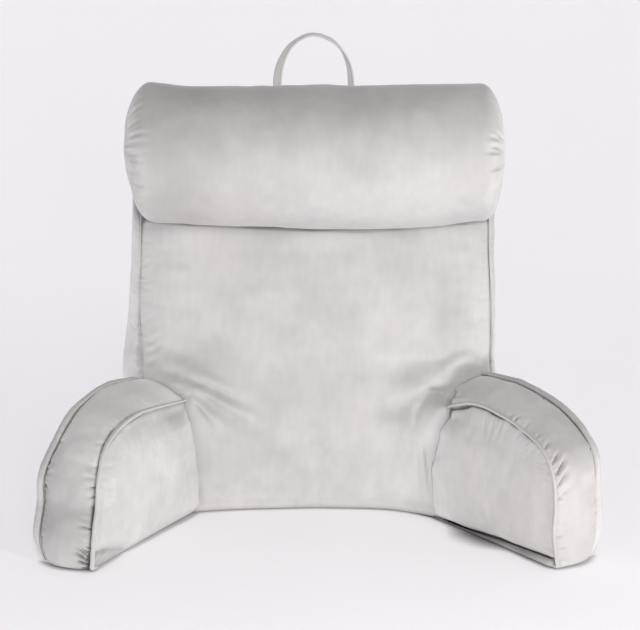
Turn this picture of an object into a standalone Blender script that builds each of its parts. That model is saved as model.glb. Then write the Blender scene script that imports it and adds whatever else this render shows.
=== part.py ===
"""Reading pillow with arms: a filled back cushion, two splayed arm cushions, a neck roll and a carry loop.

Metres, +Z up, the sitter faces -Y. Each cushion is one skin of closed rings, drawn from its sewn
seams: a table row gives the place of a seam, and a crown swells the cloth between two seams. The arms
and the roll press on the back, so each is trimmed to the back's own surface and stands a hair off it.
"""

import math

import bmesh
import bpy
import numpy as np

CLEARANCE = 0.0003  # gap between pieces that touch
PRESS_GAP = 0.0004  # gap between the back and what is pressed against it
FLOOR = 0.0

# The back: its four upright seams, one row for each height.
# height, left front seam x, right front seam x, front seam y, rear seam y, left bulge, right bulge
BACK_ROWS = (
    (0.000, -0.215, 0.222, 0.012, 0.134, 0.012, 0.008),
    (0.060, -0.221, 0.229, 0.014, 0.143, 0.025, 0.012),
    (0.125, -0.223, 0.231, 0.017, 0.147, 0.032, 0.014),
    (0.185, -0.225, 0.232, 0.020, 0.147, 0.034, 0.014),
    (0.260, -0.230, 0.232, 0.024, 0.144, 0.020, 0.014),
    (0.339, -0.227, 0.228, 0.028, 0.138, 0.018, 0.016),
    (0.430, -0.224, 0.226, 0.032, 0.130, 0.017, 0.016),
    (0.490, -0.221, 0.223, 0.036, 0.123, 0.013, 0.012),
    (0.512, -0.214, 0.216, 0.042, 0.116, 0.007, 0.007),
)
FRONT_CROWN = 0.030
REAR_CROWN = 0.028
CROWN_POWER = 2.3
CROWN_AT_FLOOR = 0.40  # share of the crown that is left at the floor, where the seam holds the cloth flat
CROWN_AT_TOP = 0.65  # share that is left at the top seam
FLOOR_FADE = (0.0, 0.14)  # heights over which the crown grows to its full share
TOP_FADE = (0.39, 0.52)  # heights over which it drops again
TOP_CROWN = 0.024
TOP_TAPER = 0.55  # how much less the top panel's loops draw in sideways than fore and aft
GUSSET_POWER = 0.8  # below 1 the side panels are fuller than a sine
BACK_COLUMNS = 22
GUSSET_COLUMNS = 5
BACK_LEVELS = 19
BASE_RINGS = 2
TOP_RINGS = 4

# The arms pull the foot of the front panel forward, out to where their inner faces leave it.
# side, reach of the pull forward, how late it starts across the panel, x at which it is full
FOOT_PULLS = ((-1, 0.026, 2.0, 0.166), (1, 0.060, 3.4, 0.169))
PULL_FADE = (0.13, 0.26)  # heights between which the pull dies away

# Soft folds that run down the front panel from the top of each arm.
# start x, start height, end x, end height, half width, rise
FOLDS = (
    (-0.205, 0.188, -0.105, 0.128, 0.017, 0.0045),
    (-0.160, 0.150, -0.112, 0.085, 0.015, 0.0035),
    (-0.205, 0.235, -0.120, 0.176, 0.017, -0.0030),
    (0.205, 0.196, 0.125, 0.150, 0.018, 0.0045),
    (0.142, 0.130, 0.134, 0.045, 0.014, 0.0045),
    (0.105, 0.150, 0.115, 0.060, 0.016, -0.0030),
)

# The arms: where the inner face leaves the back at the floor, the splay and the width of the boxing.
LEFT_ARM = {"side": -1, "crease": (-0.166, -0.0237), "splay": 23.8, "width": 0.0729, "inner_crown": 0.012}
RIGHT_ARM = {"side": 1, "crease": (0.1656, -0.0489), "splay": 33.5, "width": 0.0708, "inner_crown": 0.006}
# along the inner seam, its height, along the outer seam, its height
LEFT_SEAMS = (
    (-0.060, 0.148, -0.060, 0.168),
    (0.000, 0.154, 0.018, 0.177),
    (0.100, 0.163, 0.080, 0.181),
    (0.160, 0.159, 0.150, 0.165),
    (0.199, 0.142, 0.190, 0.137),
    (0.216, 0.110, 0.220, 0.107),
    (0.223, 0.072, 0.226, 0.070),
    (0.230, 0.045, 0.236, 0.038),
    (0.238, 0.000, 0.236, 0.000),
)
RIGHT_SEAMS = (
    (-0.060, 0.138, -0.060, 0.180),
    (0.006, 0.152, 0.022, 0.186),
    (0.070, 0.167, 0.080, 0.183),
    (0.140, 0.158, 0.145, 0.169),
    (0.190, 0.139, 0.190, 0.142),
    (0.211, 0.110, 0.208, 0.111),
    (0.216, 0.075, 0.211, 0.070),
    (0.215, 0.036, 0.213, 0.035),
    (0.223, 0.000, 0.214, 0.000),
)
ARM_HEART = (0.095, 0.078)  # the deepest point of each arm's faces, along and up
OUTER_CROWN = 0.017
OUTER_LIP = (0.97, 0.0050, 0.0065)  # share of the face, and how far its edge rolls up and out past the seam
BOXING_CROWN = 0.010
FACE_POWER = 2.4
SEAM_STEPS = 30
ARM_FLOOR_STEPS = 9
ARM_ROOT_STEPS = 4
FACE_RINGS = 5
BOXING_COLUMNS = 5

# The neck roll: x, height of its top, height of its underside
ROLL_ROWS = (
    (-0.199, 0.564, 0.397),
    (-0.138, 0.560, 0.391),
    (-0.066, 0.5595, 0.387),
    (0.010, 0.562, 0.385),
    (0.060, 0.560, 0.3835),
    (0.144, 0.562, 0.387),
    (0.205, 0.563, 0.394),
)
ROLL_HEIGHT = 0.474
ROLL_DEPTH = 0.170
ROLL_PRESS = 0.007  # how far the roll sinks into the front panel
ROLL_SIDES = 48
ROLL_STATIONS = 15
END_DOMES = (0.034, 0.029)  # how far the left and right end swell past the last row
END_TUCKS = (0.009, 0.002)  # how far their lower edges are drawn in
DOME_RINGS = 5
GATHERS = 12
GATHER_DEPTH = 0.0022
GATHER_REACH = 0.045  # how far the gathers run in from each end
TUCK_REACH = 0.06  # how far in the tuck of the lower edge begins
POLE_OUT = 0.001  # how far the button-sized middle of an end stands out

# The carry loop: a strap that stands on edge behind the roll.
# x, height above the strap's foot, turn of the strap about its own length in degrees
LOOP_ROWS = (
    (-0.0485, 0.000, 26.0),
    (-0.0492, 0.030, 22.0),
    (-0.0438, 0.057, 10.0),
    (-0.0270, 0.081, 4.0),
    (-0.0010, 0.092, 2.0),
    (0.0255, 0.082, -3.0),
    (0.0415, 0.057, -8.0),
    (0.0465, 0.030, -14.0),
    (0.0490, 0.000, -16.0),
)
LOOP_WIDTH = 0.018
LOOP_THICKNESS = 0.003
LOOP_Y = 0.082
LOOP_STEPS = 40
LOOP_SINK = 0.004  # how far the raw ends run below the crown of the top panel before they are trimmed

WELT_RADIUS = 0.0028
WELT_SIDES = 6
WELT_FOOT = 0.0068  # height of an arm welt's lower end
BACK_WELT_FOOT = 0.195  # height at which the back's welt starts, above the arms
WELT_OUTSET = WELT_RADIUS + CLEARANCE
GROOVE_RISE = 0.0009  # how much higher the outer welt sits, between the two cloths of its groove
# Where the arms' welts run: face columns of the seam table, start along the arm, share of the arm's
# width, lean away from the sitter, distance off the seam
INNER_WELT = ((0, 1), -0.015, 0.0, -1.0, WELT_OUTSET)
OUTER_WELT = ((2, 3), 0.012, 1.0, -0.1, WELT_OUTSET + GROOVE_RISE)
BASE_WELT_START = -0.020  # along the arm
BASE_WELT_SHORT = 0.004  # how far before the front of the arm it ends
BASE_WELT_INSET = 0.0072  # distance of its line from the foot of the inner face
BASE_WELT_STEPS = 14
WELT_UPRIGHT = (0.3, 0.2, 1.0)  # a direction along which no welt runs, to turn its rings by

SILVER = (0.66, 0.655, 0.655, 1.0)
SILVER_WELT = (0.70, 0.695, 0.69, 1.0)


def curve_through(rows, places):
    """Points on a smooth curve through the rows, at places counted in rows."""
    rows = np.asarray(rows, float)
    padded = np.vstack([2 * rows[0] - rows[1], rows, 2 * rows[-1] - rows[-2]])
    points = []
    for place in places:
        start = min(int(place), len(rows) - 2)
        t = place - start
        a, b, c, d = padded[start : start + 4]
        slope, bend, twist = c - a, 2 * a - 5 * b + 4 * c - d, d - a + 3 * (b - c)
        points.append(b + t / 2 * (slope + t * (bend + t * twist)))
    return np.array(points)


def spread_through(rows, count):
    """This many points on the curve through the rows, even by row number."""
    return curve_through(rows, np.linspace(0, len(rows) - 1, count))


def back_row(z):
    """The back's table read at any height."""
    heights = [row[0] for row in BACK_ROWS]
    return curve_through(BACK_ROWS, [np.interp(z, heights, range(len(heights)))])[0]


def along_length(points, count):
    """The same path with its points at even distances."""
    steps = np.linalg.norm(np.diff(points, axis=0), axis=1)
    travelled = np.concatenate([[0.0], np.cumsum(steps)])
    targets = np.linspace(0.0, travelled[-1], count)
    return np.stack([np.interp(targets, travelled, column) for column in points.T], axis=1)


def fade(value, low, high):
    """0 at low and 1 at high, with soft ends."""
    t = np.clip((value - low) / (high - low), 0.0, 1.0)
    return t * t * (3 - 2 * t)


def skin_mesh(name, rings, first_pole, last_pole):
    """A closed mesh of triangles from rings of equal length, closed at both ends by a fan to a pole."""
    mesh = bpy.data.meshes.new(name)
    bm = bmesh.new()
    rows = [[bm.verts.new(point) for point in ring] for ring in rings]
    sides = len(rows[0])
    for lower, upper in zip(rows, rows[1:]):
        for i in range(sides):
            j = (i + 1) % sides
            bm.faces.new((lower[i], lower[j], upper[j]))
            bm.faces.new((lower[i], upper[j], upper[i]))
    for pole, ring in ((first_pole, rows[0]), (last_pole, rows[-1])):
        centre = bm.verts.new(pole)
        for i in range(sides):
            bm.faces.new((ring[i], ring[(i + 1) % sides], centre))
    bmesh.ops.recalc_face_normals(bm, faces=bm.faces)
    bm.to_mesh(mesh)
    bm.free()
    return mesh


def cloth(name, colour):
    """A velvet: one colour, rough, with a soft sheen."""
    material = bpy.data.materials.new(name)
    material.use_nodes = True
    shader = material.node_tree.nodes["Principled BSDF"]
    shader.inputs["Base Color"].default_value = colour
    shader.inputs["Roughness"].default_value = 0.85
    shader.inputs["Metallic"].default_value = 0.0
    shader.inputs["Sheen Weight"].default_value = 0.5
    return material


def add_piece(name, mesh, colour, parent, smooth_degrees=35):
    """One named object with its own material."""
    piece = bpy.data.objects.new(name, mesh)
    bpy.context.scene.collection.objects.link(piece)
    piece.parent = parent
    mesh.materials.append(cloth(name, colour))
    mesh.shade_smooth()
    mesh.set_sharp_from_angle(angle=math.radians(smooth_degrees))
    return piece


def trim(piece, cutter):
    """Cut away what lies inside the cutter."""
    boolean = piece.modifiers.new("Pressed against " + cutter.name, "BOOLEAN")
    boolean.operation = "DIFFERENCE"
    boolean.object = cutter
    boolean.solver = "EXACT"


def fold_rise(x, z):
    """How far the soft folds lift the front panel at a place on it."""
    rise = 0.0
    for start_x, start_z, end_x, end_z, half_width, height in FOLDS:
        run = np.array([end_x - start_x, end_z - start_z])
        length = np.hypot(*run)
        run /= length
        offset = np.array([x - start_x, z - start_z])
        along = offset @ run / length
        across = (offset[0] * run[1] - offset[1] * run[0]) / half_width
        ends = fade(along, -0.15, 0.25) * (1 - fade(along, 0.65, 1.15))
        rise += height * ends * math.exp(-across * across)
    return rise


def crown_share(z):
    """How much of its crown an upright panel has at a height, held flatter by the seams at foot and top."""
    low = CROWN_AT_FLOOR + (1 - CROWN_AT_FLOOR) * fade(z, *FLOOR_FADE)
    return low * (1 - (1 - CROWN_AT_TOP) * fade(z, *TOP_FADE))


def front_y(x, z, row):
    """Depth of the front panel: the seam, less its crown, its folds and the pull of the arms."""
    _, left, right, seam_y, _, _, _ = row
    middle, half = (left + right) / 2, (right - left) / 2
    y = seam_y - FRONT_CROWN * crown_share(z) * (1 - min(abs(x - middle) / half, 1.0) ** CROWN_POWER)
    for side, reach, power, full in FOOT_PULLS:
        if x * side > 0:
            y -= reach * min(abs(x) / full, 1.0) ** power * (1 - fade(z, *PULL_FADE))
    return y - fold_rise(x, z)


def back_ring(z):
    """One level loop of the back: front panel, right gusset, rear panel, left gusset."""
    row = back_row(z)
    _, left, right, _, rear_y, left_bulge, right_bulge = row
    points = []
    for x in np.linspace(left, right, BACK_COLUMNS + 1)[:-1]:
        points.append((x, front_y(x, z, row), z))
    for t in np.linspace(0, 1, GUSSET_COLUMNS + 1)[:-1]:
        y = front_y(right, z, row) * (1 - t) + rear_y * t
        points.append((right + right_bulge * math.sin(math.pi * t) ** GUSSET_POWER, y, z))
    for t in np.linspace(0, 1, BACK_COLUMNS + 1)[:-1]:
        y = rear_y + REAR_CROWN * crown_share(z) * (1 - abs(2 * t - 1) ** CROWN_POWER)
        points.append((right + t * (left - right), y, z))
    for t in np.linspace(0, 1, GUSSET_COLUMNS + 1)[:-1]:
        y = rear_y * (1 - t) + front_y(left, z, row) * t
        points.append((left - left_bulge * math.sin(math.pi * t) ** GUSSET_POWER, y, z))
    return np.array(points)


def back_levels():
    """Heights of the back's loops, from its foot to its top seam."""
    return np.linspace(FLOOR, BACK_ROWS[-1][0], BACK_LEVELS)


def back_mesh(name):
    """The back cushion: a flat base, upright panels that crown between their seams, a crowned top."""
    top_z = BACK_ROWS[-1][0]
    rings = [back_ring(z) for z in back_levels()]
    base, top = rings[0], rings[-1]
    base_pole, top_middle = base.mean(axis=0), top.mean(axis=0)
    inner_base = [base_pole + (base - base_pole) * t for t in np.linspace(0, 1, BASE_RINGS + 1)[1:-1]]
    crown = []
    for t in np.linspace(1, 0, TOP_RINGS + 1)[1:-1]:
        ring = top_middle + (top - top_middle) * np.array([1 - (1 - t) * TOP_TAPER, t, 0])
        ring[:, 2] = top_z + TOP_CROWN * (1 - t**2)
        crown.append(ring)
    top_pole = top_middle + np.array([0.0, 0.0, TOP_CROWN])
    return skin_mesh(name, inner_base + rings + crown, base_pole, top_pole)


def grown(mesh, distance):
    """A copy of a mesh whose faces all stand out by one distance."""
    bm = bmesh.new()
    bm.from_mesh(mesh)
    bm.normal_update()
    moves = [vertex.normal * distance * vertex.calc_shell_factor() for vertex in bm.verts]
    for vertex, move in zip(bm.verts, moves):
        vertex.co += move
    copy = bpy.data.meshes.new(mesh.name + "_grown")
    bm.to_mesh(copy)
    bm.free()
    return copy


def arm_frame(arm):
    """The arm's own directions: out along it, away from the sitter, and its root at the floor."""
    splay = math.radians(arm["splay"])
    along = np.array([arm["side"] * math.sin(splay), -math.cos(splay), 0.0])
    away = np.array([arm["side"] * math.cos(splay), math.sin(splay), 0.0])
    return np.array([*arm["crease"], FLOOR]), along, away


def arm_outline(rows, columns):
    """One face's outline, along and up: root, seam over the top and down the front, then the floor."""
    seam = along_length(spread_through(rows, 8 * SEAM_STEPS)[:, columns], SEAM_STEPS)
    seam[-1, 1] = FLOOR
    root = np.linspace((seam[0, 0], FLOOR), seam[0], ARM_ROOT_STEPS + 1)[:-1]
    ground = np.linspace(seam[-1], root[0], ARM_FLOOR_STEPS + 1)[1:-1]
    return np.vstack([root, seam, ground])


def outline_normals(outline):
    """Outward directions of an outline in its own plane, level where it lies on the floor."""
    ahead = np.roll(outline, -1, axis=0) - np.roll(outline, 1, axis=0)
    normals = np.stack([-ahead[:, 1], ahead[:, 0]], axis=1)
    normals /= np.linalg.norm(normals, axis=1)[:, None]
    normals[:, 1] = np.maximum(normals[:, 1], 0.0)
    return normals


def arm_mesh(name, arm, rows):
    """An arm: an inner and an outer face that crown about their hearts, with boxing between them."""
    origin, along, away = arm_frame(arm)
    inner, outer = arm_outline(rows, [0, 1]), arm_outline(rows, [2, 3])
    normals = outline_normals((inner + outer) / 2)
    heart = np.array(ARM_HEART)

    def place(outline, offset):
        up = np.maximum(outline[:, 1], FLOOR)
        return origin + np.outer(outline[:, 0], along) + np.outer(offset, away) + np.outer(up, (0, 0, 1))

    count = len(inner)
    rings = []
    shares = np.linspace(0, 1, FACE_RINGS + 1)[1:]
    for share in shares:
        swell = -arm["inner_crown"] * (1 - share**FACE_POWER)
        rings.append(place(heart + (inner - heart) * share, np.full(count, swell)))
    for t in np.linspace(0, 1, BOXING_COLUMNS + 1)[1:-1]:
        outline = inner + (outer - inner) * t
        swell = BOXING_CROWN * (4 * t * (1 - t)) ** GUSSET_POWER
        rings.append(place(outline + normals * swell, np.full(count, arm["width"] * t)))
    rings.append(place(outer, np.full(count, arm["width"])))
    share, rise, reach = OUTER_LIP
    lip = heart + (outer - heart) * share + normals * rise
    rings.append(place(lip, np.full(count, arm["width"] + reach)))
    for share in shares[-2::-1]:
        swell = arm["width"] + OUTER_CROWN * (1 - share**FACE_POWER)
        rings.append(place(heart + (outer - heart) * share, np.full(count, swell)))
    poles = [
        origin + along * heart[0] + away * offset + np.array([0, 0, heart[1]])
        for offset in (-arm["inner_crown"], arm["width"] + OUTER_CROWN)
    ]
    return skin_mesh(name, rings, *poles)


def tube_mesh(name, path, radius, sides):
    """A round tube along a path, its rings square to the path and its ends closed."""
    path = np.asarray(path, float)
    tangents = np.gradient(path, axis=0)
    tangents /= np.linalg.norm(tangents, axis=1)[:, None]
    up = np.array(WELT_UPRIGHT)
    rings = []
    for point, tangent in zip(path, tangents):
        across = np.cross(tangent, up)
        across /= np.linalg.norm(across)
        up = np.cross(across, tangent)
        turns = np.arange(sides) * 2 * math.pi / sides
        rings.append(point + radius * (np.outer(np.cos(turns), across) + np.outer(np.sin(turns), up)))
    return skin_mesh(name, rings, path[0], path[-1])


def arm_welt_path(rows, arm, columns, start, share, lean, outset):
    """The line of an arm's welt, just off its seam, from a start along the arm down to its front foot.

    The inner welt leans halfway to the sitter; the outer one stands in the groove that the rolled edge
    of the outer face makes with the boxing.
    """
    origin, along, away = arm_frame(arm)
    outline = arm_outline(rows, list(columns))
    normals = outline_normals(outline)
    seam = slice(ARM_ROOT_STEPS, ARM_ROOT_STEPS + SEAM_STEPS - 1)
    path = []
    for (reach, height), (normal_u, normal_z) in zip(outline[seam], normals[seam]):
        point = origin + along * reach + away * arm["width"] * share + np.array([0, 0, height])
        off = along * normal_u + np.array([0, 0, normal_z]) + away * lean
        point = point + off / np.linalg.norm(off) * outset
        if reach > start and point[2] > WELT_FOOT:
            path.append(point)
    return path


def base_welt_path(arm, rows):
    """The line of the welt round the foot of an arm's inner face, lying on the floor."""
    origin, along, away = arm_frame(arm)
    reaches = np.linspace(BASE_WELT_START, rows[-1][0] - BASE_WELT_SHORT, BASE_WELT_STEPS)
    start = origin - away * BASE_WELT_INSET + np.array([0, 0, WELT_OUTSET])
    return [start + along * reach for reach in reaches]


def back_welt_path():
    """The line of the welt up the left of the front panel, over its top and down its right."""
    left, right = [], []
    for z in back_levels():
        if z < BACK_WELT_FOOT:
            continue
        ring = back_ring(z)
        lean = np.array([WELT_OUTSET, -WELT_OUTSET, 0.0]) * math.sqrt(0.5)
        left.append(ring[0] + lean * (-1, 1, 1))
        right.append(ring[BACK_COLUMNS] + lean)
    above = np.array([0.0, 0.0, WELT_OUTSET]) * math.sqrt(0.5)
    left[-1], right[-1] = left[-1] + above, right[-1] + above
    top = back_ring(BACK_ROWS[-1][0])[1:BACK_COLUMNS]
    over = top + above - (0.0, above[2], 0.0)
    return np.vstack([left, over, right[::-1]])


def roll_mesh(name):
    """The neck roll: a soft tube with swelling, gathered ends."""
    rear_y = front_y(0.0, ROLL_HEIGHT, back_row(ROLL_HEIGHT))
    centre_y = rear_y + ROLL_PRESS - ROLL_DEPTH / 2
    rows = spread_through(ROLL_ROWS, ROLL_STATIONS)
    turns = np.arange(ROLL_SIDES) * 2 * math.pi / ROLL_SIDES
    depth_share = GATHER_DEPTH / (ROLL_DEPTH / 2)

    def ring(x, top, bottom, size, gather, tuck):
        middle, half = (top + bottom) / 2, (top - bottom) / 2
        radius = size * (1 + gather * np.cos(GATHERS * turns))
        lower = (1 - np.sin(turns)) / 2
        shift = tuck * lower**2
        return np.stack(
            [
                np.full(ROLL_SIDES, x) + shift,
                centre_y + ROLL_DEPTH / 2 * radius * np.cos(turns),
                middle + half * radius * np.sin(turns),
            ],
            axis=1,
        )

    def end(row, side, depth, tuck):
        """Rings over one swelling end, from its seam outwards, and its pole."""
        rings = []
        for t in np.linspace(0, 1, DOME_RINGS + 1)[1:-1]:
            size = math.cos(t * math.pi / 2)
            gather = depth_share * (1 - t) ** 0.7
            x = row[0] + side * depth * math.sin(t * math.pi / 2)
            rings.append(ring(x, row[1], row[2], size, gather, -side * tuck * (1 - t) ** 0.5))
        pole = (row[0] + side * (depth + POLE_OUT), centre_y, (row[1] + row[2]) / 2)
        return rings, pole

    body = []
    for x, top, bottom in rows:
        near = min(x - rows[0][0], rows[-1][0] - x)
        gather = -depth_share * (1 - fade(near, 0.0, GATHER_REACH))
        side = -1 if x < 0 else 1
        tuck = END_TUCKS[0 if x < 0 else 1] * (1 - fade(near, 0.0, TUCK_REACH))
        body.append(ring(x, top, bottom, 1.0, gather, -side * tuck))
    left, left_pole = end(rows[0], -1, END_DOMES[0], END_TUCKS[0])
    right, right_pole = end(rows[-1], 1, END_DOMES[1], END_TUCKS[1])
    return skin_mesh(name, left[::-1] + body + right, left_pole, right_pole)


def loop_mesh(name, foot_z):
    """The carry loop: one flat strap bent over, a little twisted, its width set fore and aft."""
    rows = along_length(spread_through(LOOP_ROWS, 8 * LOOP_STEPS), LOOP_STEPS)
    path = np.stack([rows[:, 0], np.full(LOOP_STEPS, LOOP_Y), foot_z + rows[:, 1]], axis=1)
    tangents = np.gradient(path, axis=0)
    tangents /= np.linalg.norm(tangents, axis=1)[:, None]
    rings = []
    for point, tangent, turn in zip(path, tangents, np.radians(rows[:, 2])):
        outward = np.array([-tangent[2], 0.0, tangent[0]])
        fore = np.array([0.0, 1.0, 0.0])
        wide = fore * math.cos(turn) + outward * math.sin(turn)
        thin = outward * math.cos(turn) - fore * math.sin(turn)
        half_wide, half_thin = wide * LOOP_WIDTH / 2, thin * LOOP_THICKNESS / 2
        corners = (half_wide + half_thin, half_thin, half_thin - half_wide)
        rings.append([point + c for c in corners] + [point - c for c in corners])
    return skin_mesh(name, rings, path[0], path[-1])


def centre_on_base(root, pieces):
    """Moves the root so that the origin is at the middle of the foot of the whole pillow."""
    bpy.context.view_layer.update()
    graph = bpy.context.evaluated_depsgraph_get()
    corners = np.vstack(
        [[tuple(vertex.co) for vertex in piece.evaluated_get(graph).data.vertices] for piece in pieces]
    )
    low, high = corners.min(axis=0), corners.max(axis=0)
    root.location = (-(low[0] + high[0]) / 2, -(low[1] + high[1]) / 2, -low[2])


def main():
    for item in list(bpy.data.objects):
        bpy.data.objects.remove(item, do_unlink=True)
    root = bpy.data.objects.new("pillow", None)
    bpy.context.scene.collection.objects.link(root)

    back = add_piece("back_cushion", back_mesh("back_cushion"), SILVER, root)
    press = bpy.data.objects.new("back_press", grown(back.data, PRESS_GAP))
    bpy.context.scene.collection.objects.link(press)
    press.parent = root
    press.hide_render = True
    press.display_type = "WIRE"

    pressed = [add_piece("neck_roll", roll_mesh("neck_roll"), SILVER, root)]
    for word, arm, rows in (("left", LEFT_ARM, LEFT_SEAMS), ("right", RIGHT_ARM, RIGHT_SEAMS)):
        name = "arm_" + word
        pressed.append(add_piece(name, arm_mesh(name, arm, rows), SILVER, root))
        for seam, where in (("inner", INNER_WELT), ("outer", OUTER_WELT)):
            welt = f"welt_{word}_{seam}"
            mesh = tube_mesh(welt, arm_welt_path(rows, arm, *where), WELT_RADIUS, WELT_SIDES)
            pressed.append(add_piece(welt, mesh, SILVER_WELT, root))
    mesh = tube_mesh("welt_right_base", base_welt_path(RIGHT_ARM, RIGHT_SEAMS), WELT_RADIUS, WELT_SIDES)
    pressed.append(add_piece("welt_right_base", mesh, SILVER_WELT, root))
    loop_foot = BACK_ROWS[-1][0] + TOP_CROWN - LOOP_SINK
    pressed.append(add_piece("carry_loop", loop_mesh("carry_loop", loop_foot), SILVER, root))
    for piece in pressed:
        trim(piece, press)

    mesh = tube_mesh("welt_back", back_welt_path(), WELT_RADIUS, WELT_SIDES)
    welt_back = add_piece("welt_back", mesh, SILVER_WELT, root)
    centre_on_base(root, [back, welt_back, *pressed])


main()
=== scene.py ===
"""A reading pillow with arms, dressed: velour covers, piped seams, a soft neck roll and a carry loop.

Every cover is a closed skin of loops drawn from named seams, a few millimetres from point to point. A
short cloth simulation swells it, and its seams then pinch it. All sizes are in metres.
"""

import logging
import math
from collections.abc import Sequence
from dataclasses import dataclass, field
from enum import Enum

import bpy
import numpy as np
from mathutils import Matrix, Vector
from mathutils.bvhtree import BVHTree
from mathutils.kdtree import KDTree


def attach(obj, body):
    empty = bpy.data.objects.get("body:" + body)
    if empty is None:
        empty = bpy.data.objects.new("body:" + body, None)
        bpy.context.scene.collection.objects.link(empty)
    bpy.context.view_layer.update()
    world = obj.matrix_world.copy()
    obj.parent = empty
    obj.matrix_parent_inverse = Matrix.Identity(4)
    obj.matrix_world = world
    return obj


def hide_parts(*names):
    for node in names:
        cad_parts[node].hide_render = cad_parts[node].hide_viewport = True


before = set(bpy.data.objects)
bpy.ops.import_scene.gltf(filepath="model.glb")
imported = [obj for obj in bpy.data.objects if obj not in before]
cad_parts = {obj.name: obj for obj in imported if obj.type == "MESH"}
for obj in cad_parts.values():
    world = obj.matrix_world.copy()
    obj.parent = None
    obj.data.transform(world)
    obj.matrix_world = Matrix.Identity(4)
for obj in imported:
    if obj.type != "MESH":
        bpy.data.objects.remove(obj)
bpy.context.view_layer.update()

LOG = logging.getLogger("pillow")

Array = np.ndarray
Material = bpy.types.Material
Mesh = bpy.types.Mesh
Node = bpy.types.Node
Object = bpy.types.Object
Socket = bpy.types.NodeSocket

SHIFT = np.array([-0.007144, 0.034676, 0.0])  # from the tables' frame to the part's
UP = np.array([0.0, 0.0, 1.0])
FLOOR = 0.0
UNDERSIDE = FLOOR + 0.0004  # the height of a cover's lowest points
CLEAR = 0.0006  # air between a cover and what it presses on

# ---- Curves, noise and skins ----


def curve_through(rows: Sequence, places: Array) -> Array:
    """Points on a smooth curve through table rows.

    Args:
        rows: the table, one point with any number of columns a row.
        places: where to read it, counted in rows.

    Returns:
        One row of columns for each place.
    """
    rows = np.asarray(rows, float)
    padded = np.vstack([2 * rows[0] - rows[1], rows, 2 * rows[-1] - rows[-2]])
    start = np.minimum(np.asarray(places).astype(int), len(rows) - 2)
    t = (np.asarray(places) - start)[:, None]
    a, b, c, d = (padded[start + k] for k in range(4))
    slope, bend, twist = c - a, 2 * a - 5 * b + 4 * c - d, d - a + 3 * (b - c)
    return b + t / 2 * (slope + t * (bend + t * twist))


def spread_through(rows: Sequence, count: int) -> Array:
    """This many points on the curve through the rows, even by row number."""
    return curve_through(rows, np.linspace(0, len(rows) - 1, count))


def lengths_along(points: Array) -> Array:
    """Distance travelled along a path at each of its points."""
    steps = np.linalg.norm(np.diff(points, axis=0), axis=1)
    return np.concatenate([[0.0], np.cumsum(steps)])


def along_length(points: Array, count: int) -> Array:
    """The same path with this many points at even distances."""
    travelled = lengths_along(points)
    targets = np.linspace(0.0, travelled[-1], count)
    return np.stack([np.interp(targets, travelled, column) for column in points.T], axis=1)


def fade(value: Array, low: float, high: float) -> Array:
    """0 at low and 1 at high, with soft ends."""
    t = np.clip((np.asarray(value) - low) / (high - low), 0.0, 1.0)
    return t * t * (3 - 2 * t)


def bump(value: Array, middle: float, half_width: float) -> Array:
    """A soft hump of height 1 round a middle."""
    return np.exp(-(((np.asarray(value) - middle) / half_width) ** 2))


def read(table: Sequence[Sequence[float]], at: Array) -> Array:
    """A table of places and values, read between its rows."""
    return np.interp(at, *zip(*table))


def with_painted_patches(patches: Sequence, x: Array, z: Array, start: Array) -> Array:
    """Painted shade from a start, with patches of (x, height), (half sizes) and amount: how much darker,
    below 0 lighter.
    """
    shade = start
    for (across, height), (wide, tall), amount in patches:
        shade = shade + amount * bump(x, across, wide) * bump(z, height, tall)
    return shade


class SoftNoise:
    """Smooth random numbers from -1 to 1 that fill space, the same ones each run."""

    CELLS = 24

    def __init__(self, seed: int) -> None:
        """Draws the lattice of a seed."""
        self.table = np.random.default_rng(seed).uniform(-1, 1, (self.CELLS,) * 3)

    def __call__(self, points: Array, size: float | Sequence[float]) -> Array:
        """Reads the noise.

        Args:
            points: places, with three numbers on the last axis.
            size: distance from one lattice point to the next, one number or one for each axis.

        Returns:
            One number for each place.
        """
        scaled = points / np.asarray(size)
        base = np.floor(scaled).astype(int)
        t = scaled - base
        t = t * t * (3 - 2 * t)
        total = np.zeros(points.shape[:-1])
        for corner in np.ndindex(2, 2, 2):
            share = np.prod(np.where(corner, t, 1 - t), axis=-1)
            cell = (base + corner) % self.CELLS
            total += share * self.table[cell[..., 0], cell[..., 1], cell[..., 2]]
        return total

    def summed(self, points: Array, waves: Sequence) -> Array:
        """Waves of it, each with its height and length, added up."""
        return sum(height * self(points, length) for height, length in waves)

    def line(self, travelled: Array, size: float) -> Array:
        """The noise read along a line, by distance."""
        points = np.stack([travelled, np.full_like(travelled, 0.37), np.full_like(travelled, 0.61)], axis=-1)
        return self(points, (size, 1.0, 1.0))


@dataclass(frozen=True)
class Pinch:
    """One gather that a seam pulls into the cloth beside it."""

    at: float  # distance along the seam
    reach: float  # how far from the seam it runs
    half_width: float
    depth: float
    slant: float = 0.0  # how far it drifts along the seam for each metre away from it
    start: float = 0.0  # distance from the seam at which it begins

    def press(self, along: Array, away: Array) -> Array:
        """How far the cloth is pressed in.

        Args:
            along: distance of each point along the seam.
            away: its distance from the seam.

        Returns:
            The depth at each point, below 0 on the shoulders that the pinch throws up.
        """
        width = self.half_width * (0.55 + 0.9 * np.clip(away / self.reach, 0, 1.5))
        line = (along - self.at - self.slant * away) / width
        near = (np.abs(line) < 4.5) & (away < self.reach) & (away > self.start - 0.004)
        pressed = np.zeros(along.shape)
        line, away = line[near], away[near]
        valley = np.exp(-(line**2)) - 0.5 * np.exp(-((np.abs(line) - 1.9) ** 2))
        ends = fade(away, self.start - 0.004, self.start + 0.15 * self.reach)
        ends = ends * (1 - fade(away, 0.35 * self.reach, self.reach))
        pressed[near] = self.depth * valley * ends
        return pressed


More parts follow.
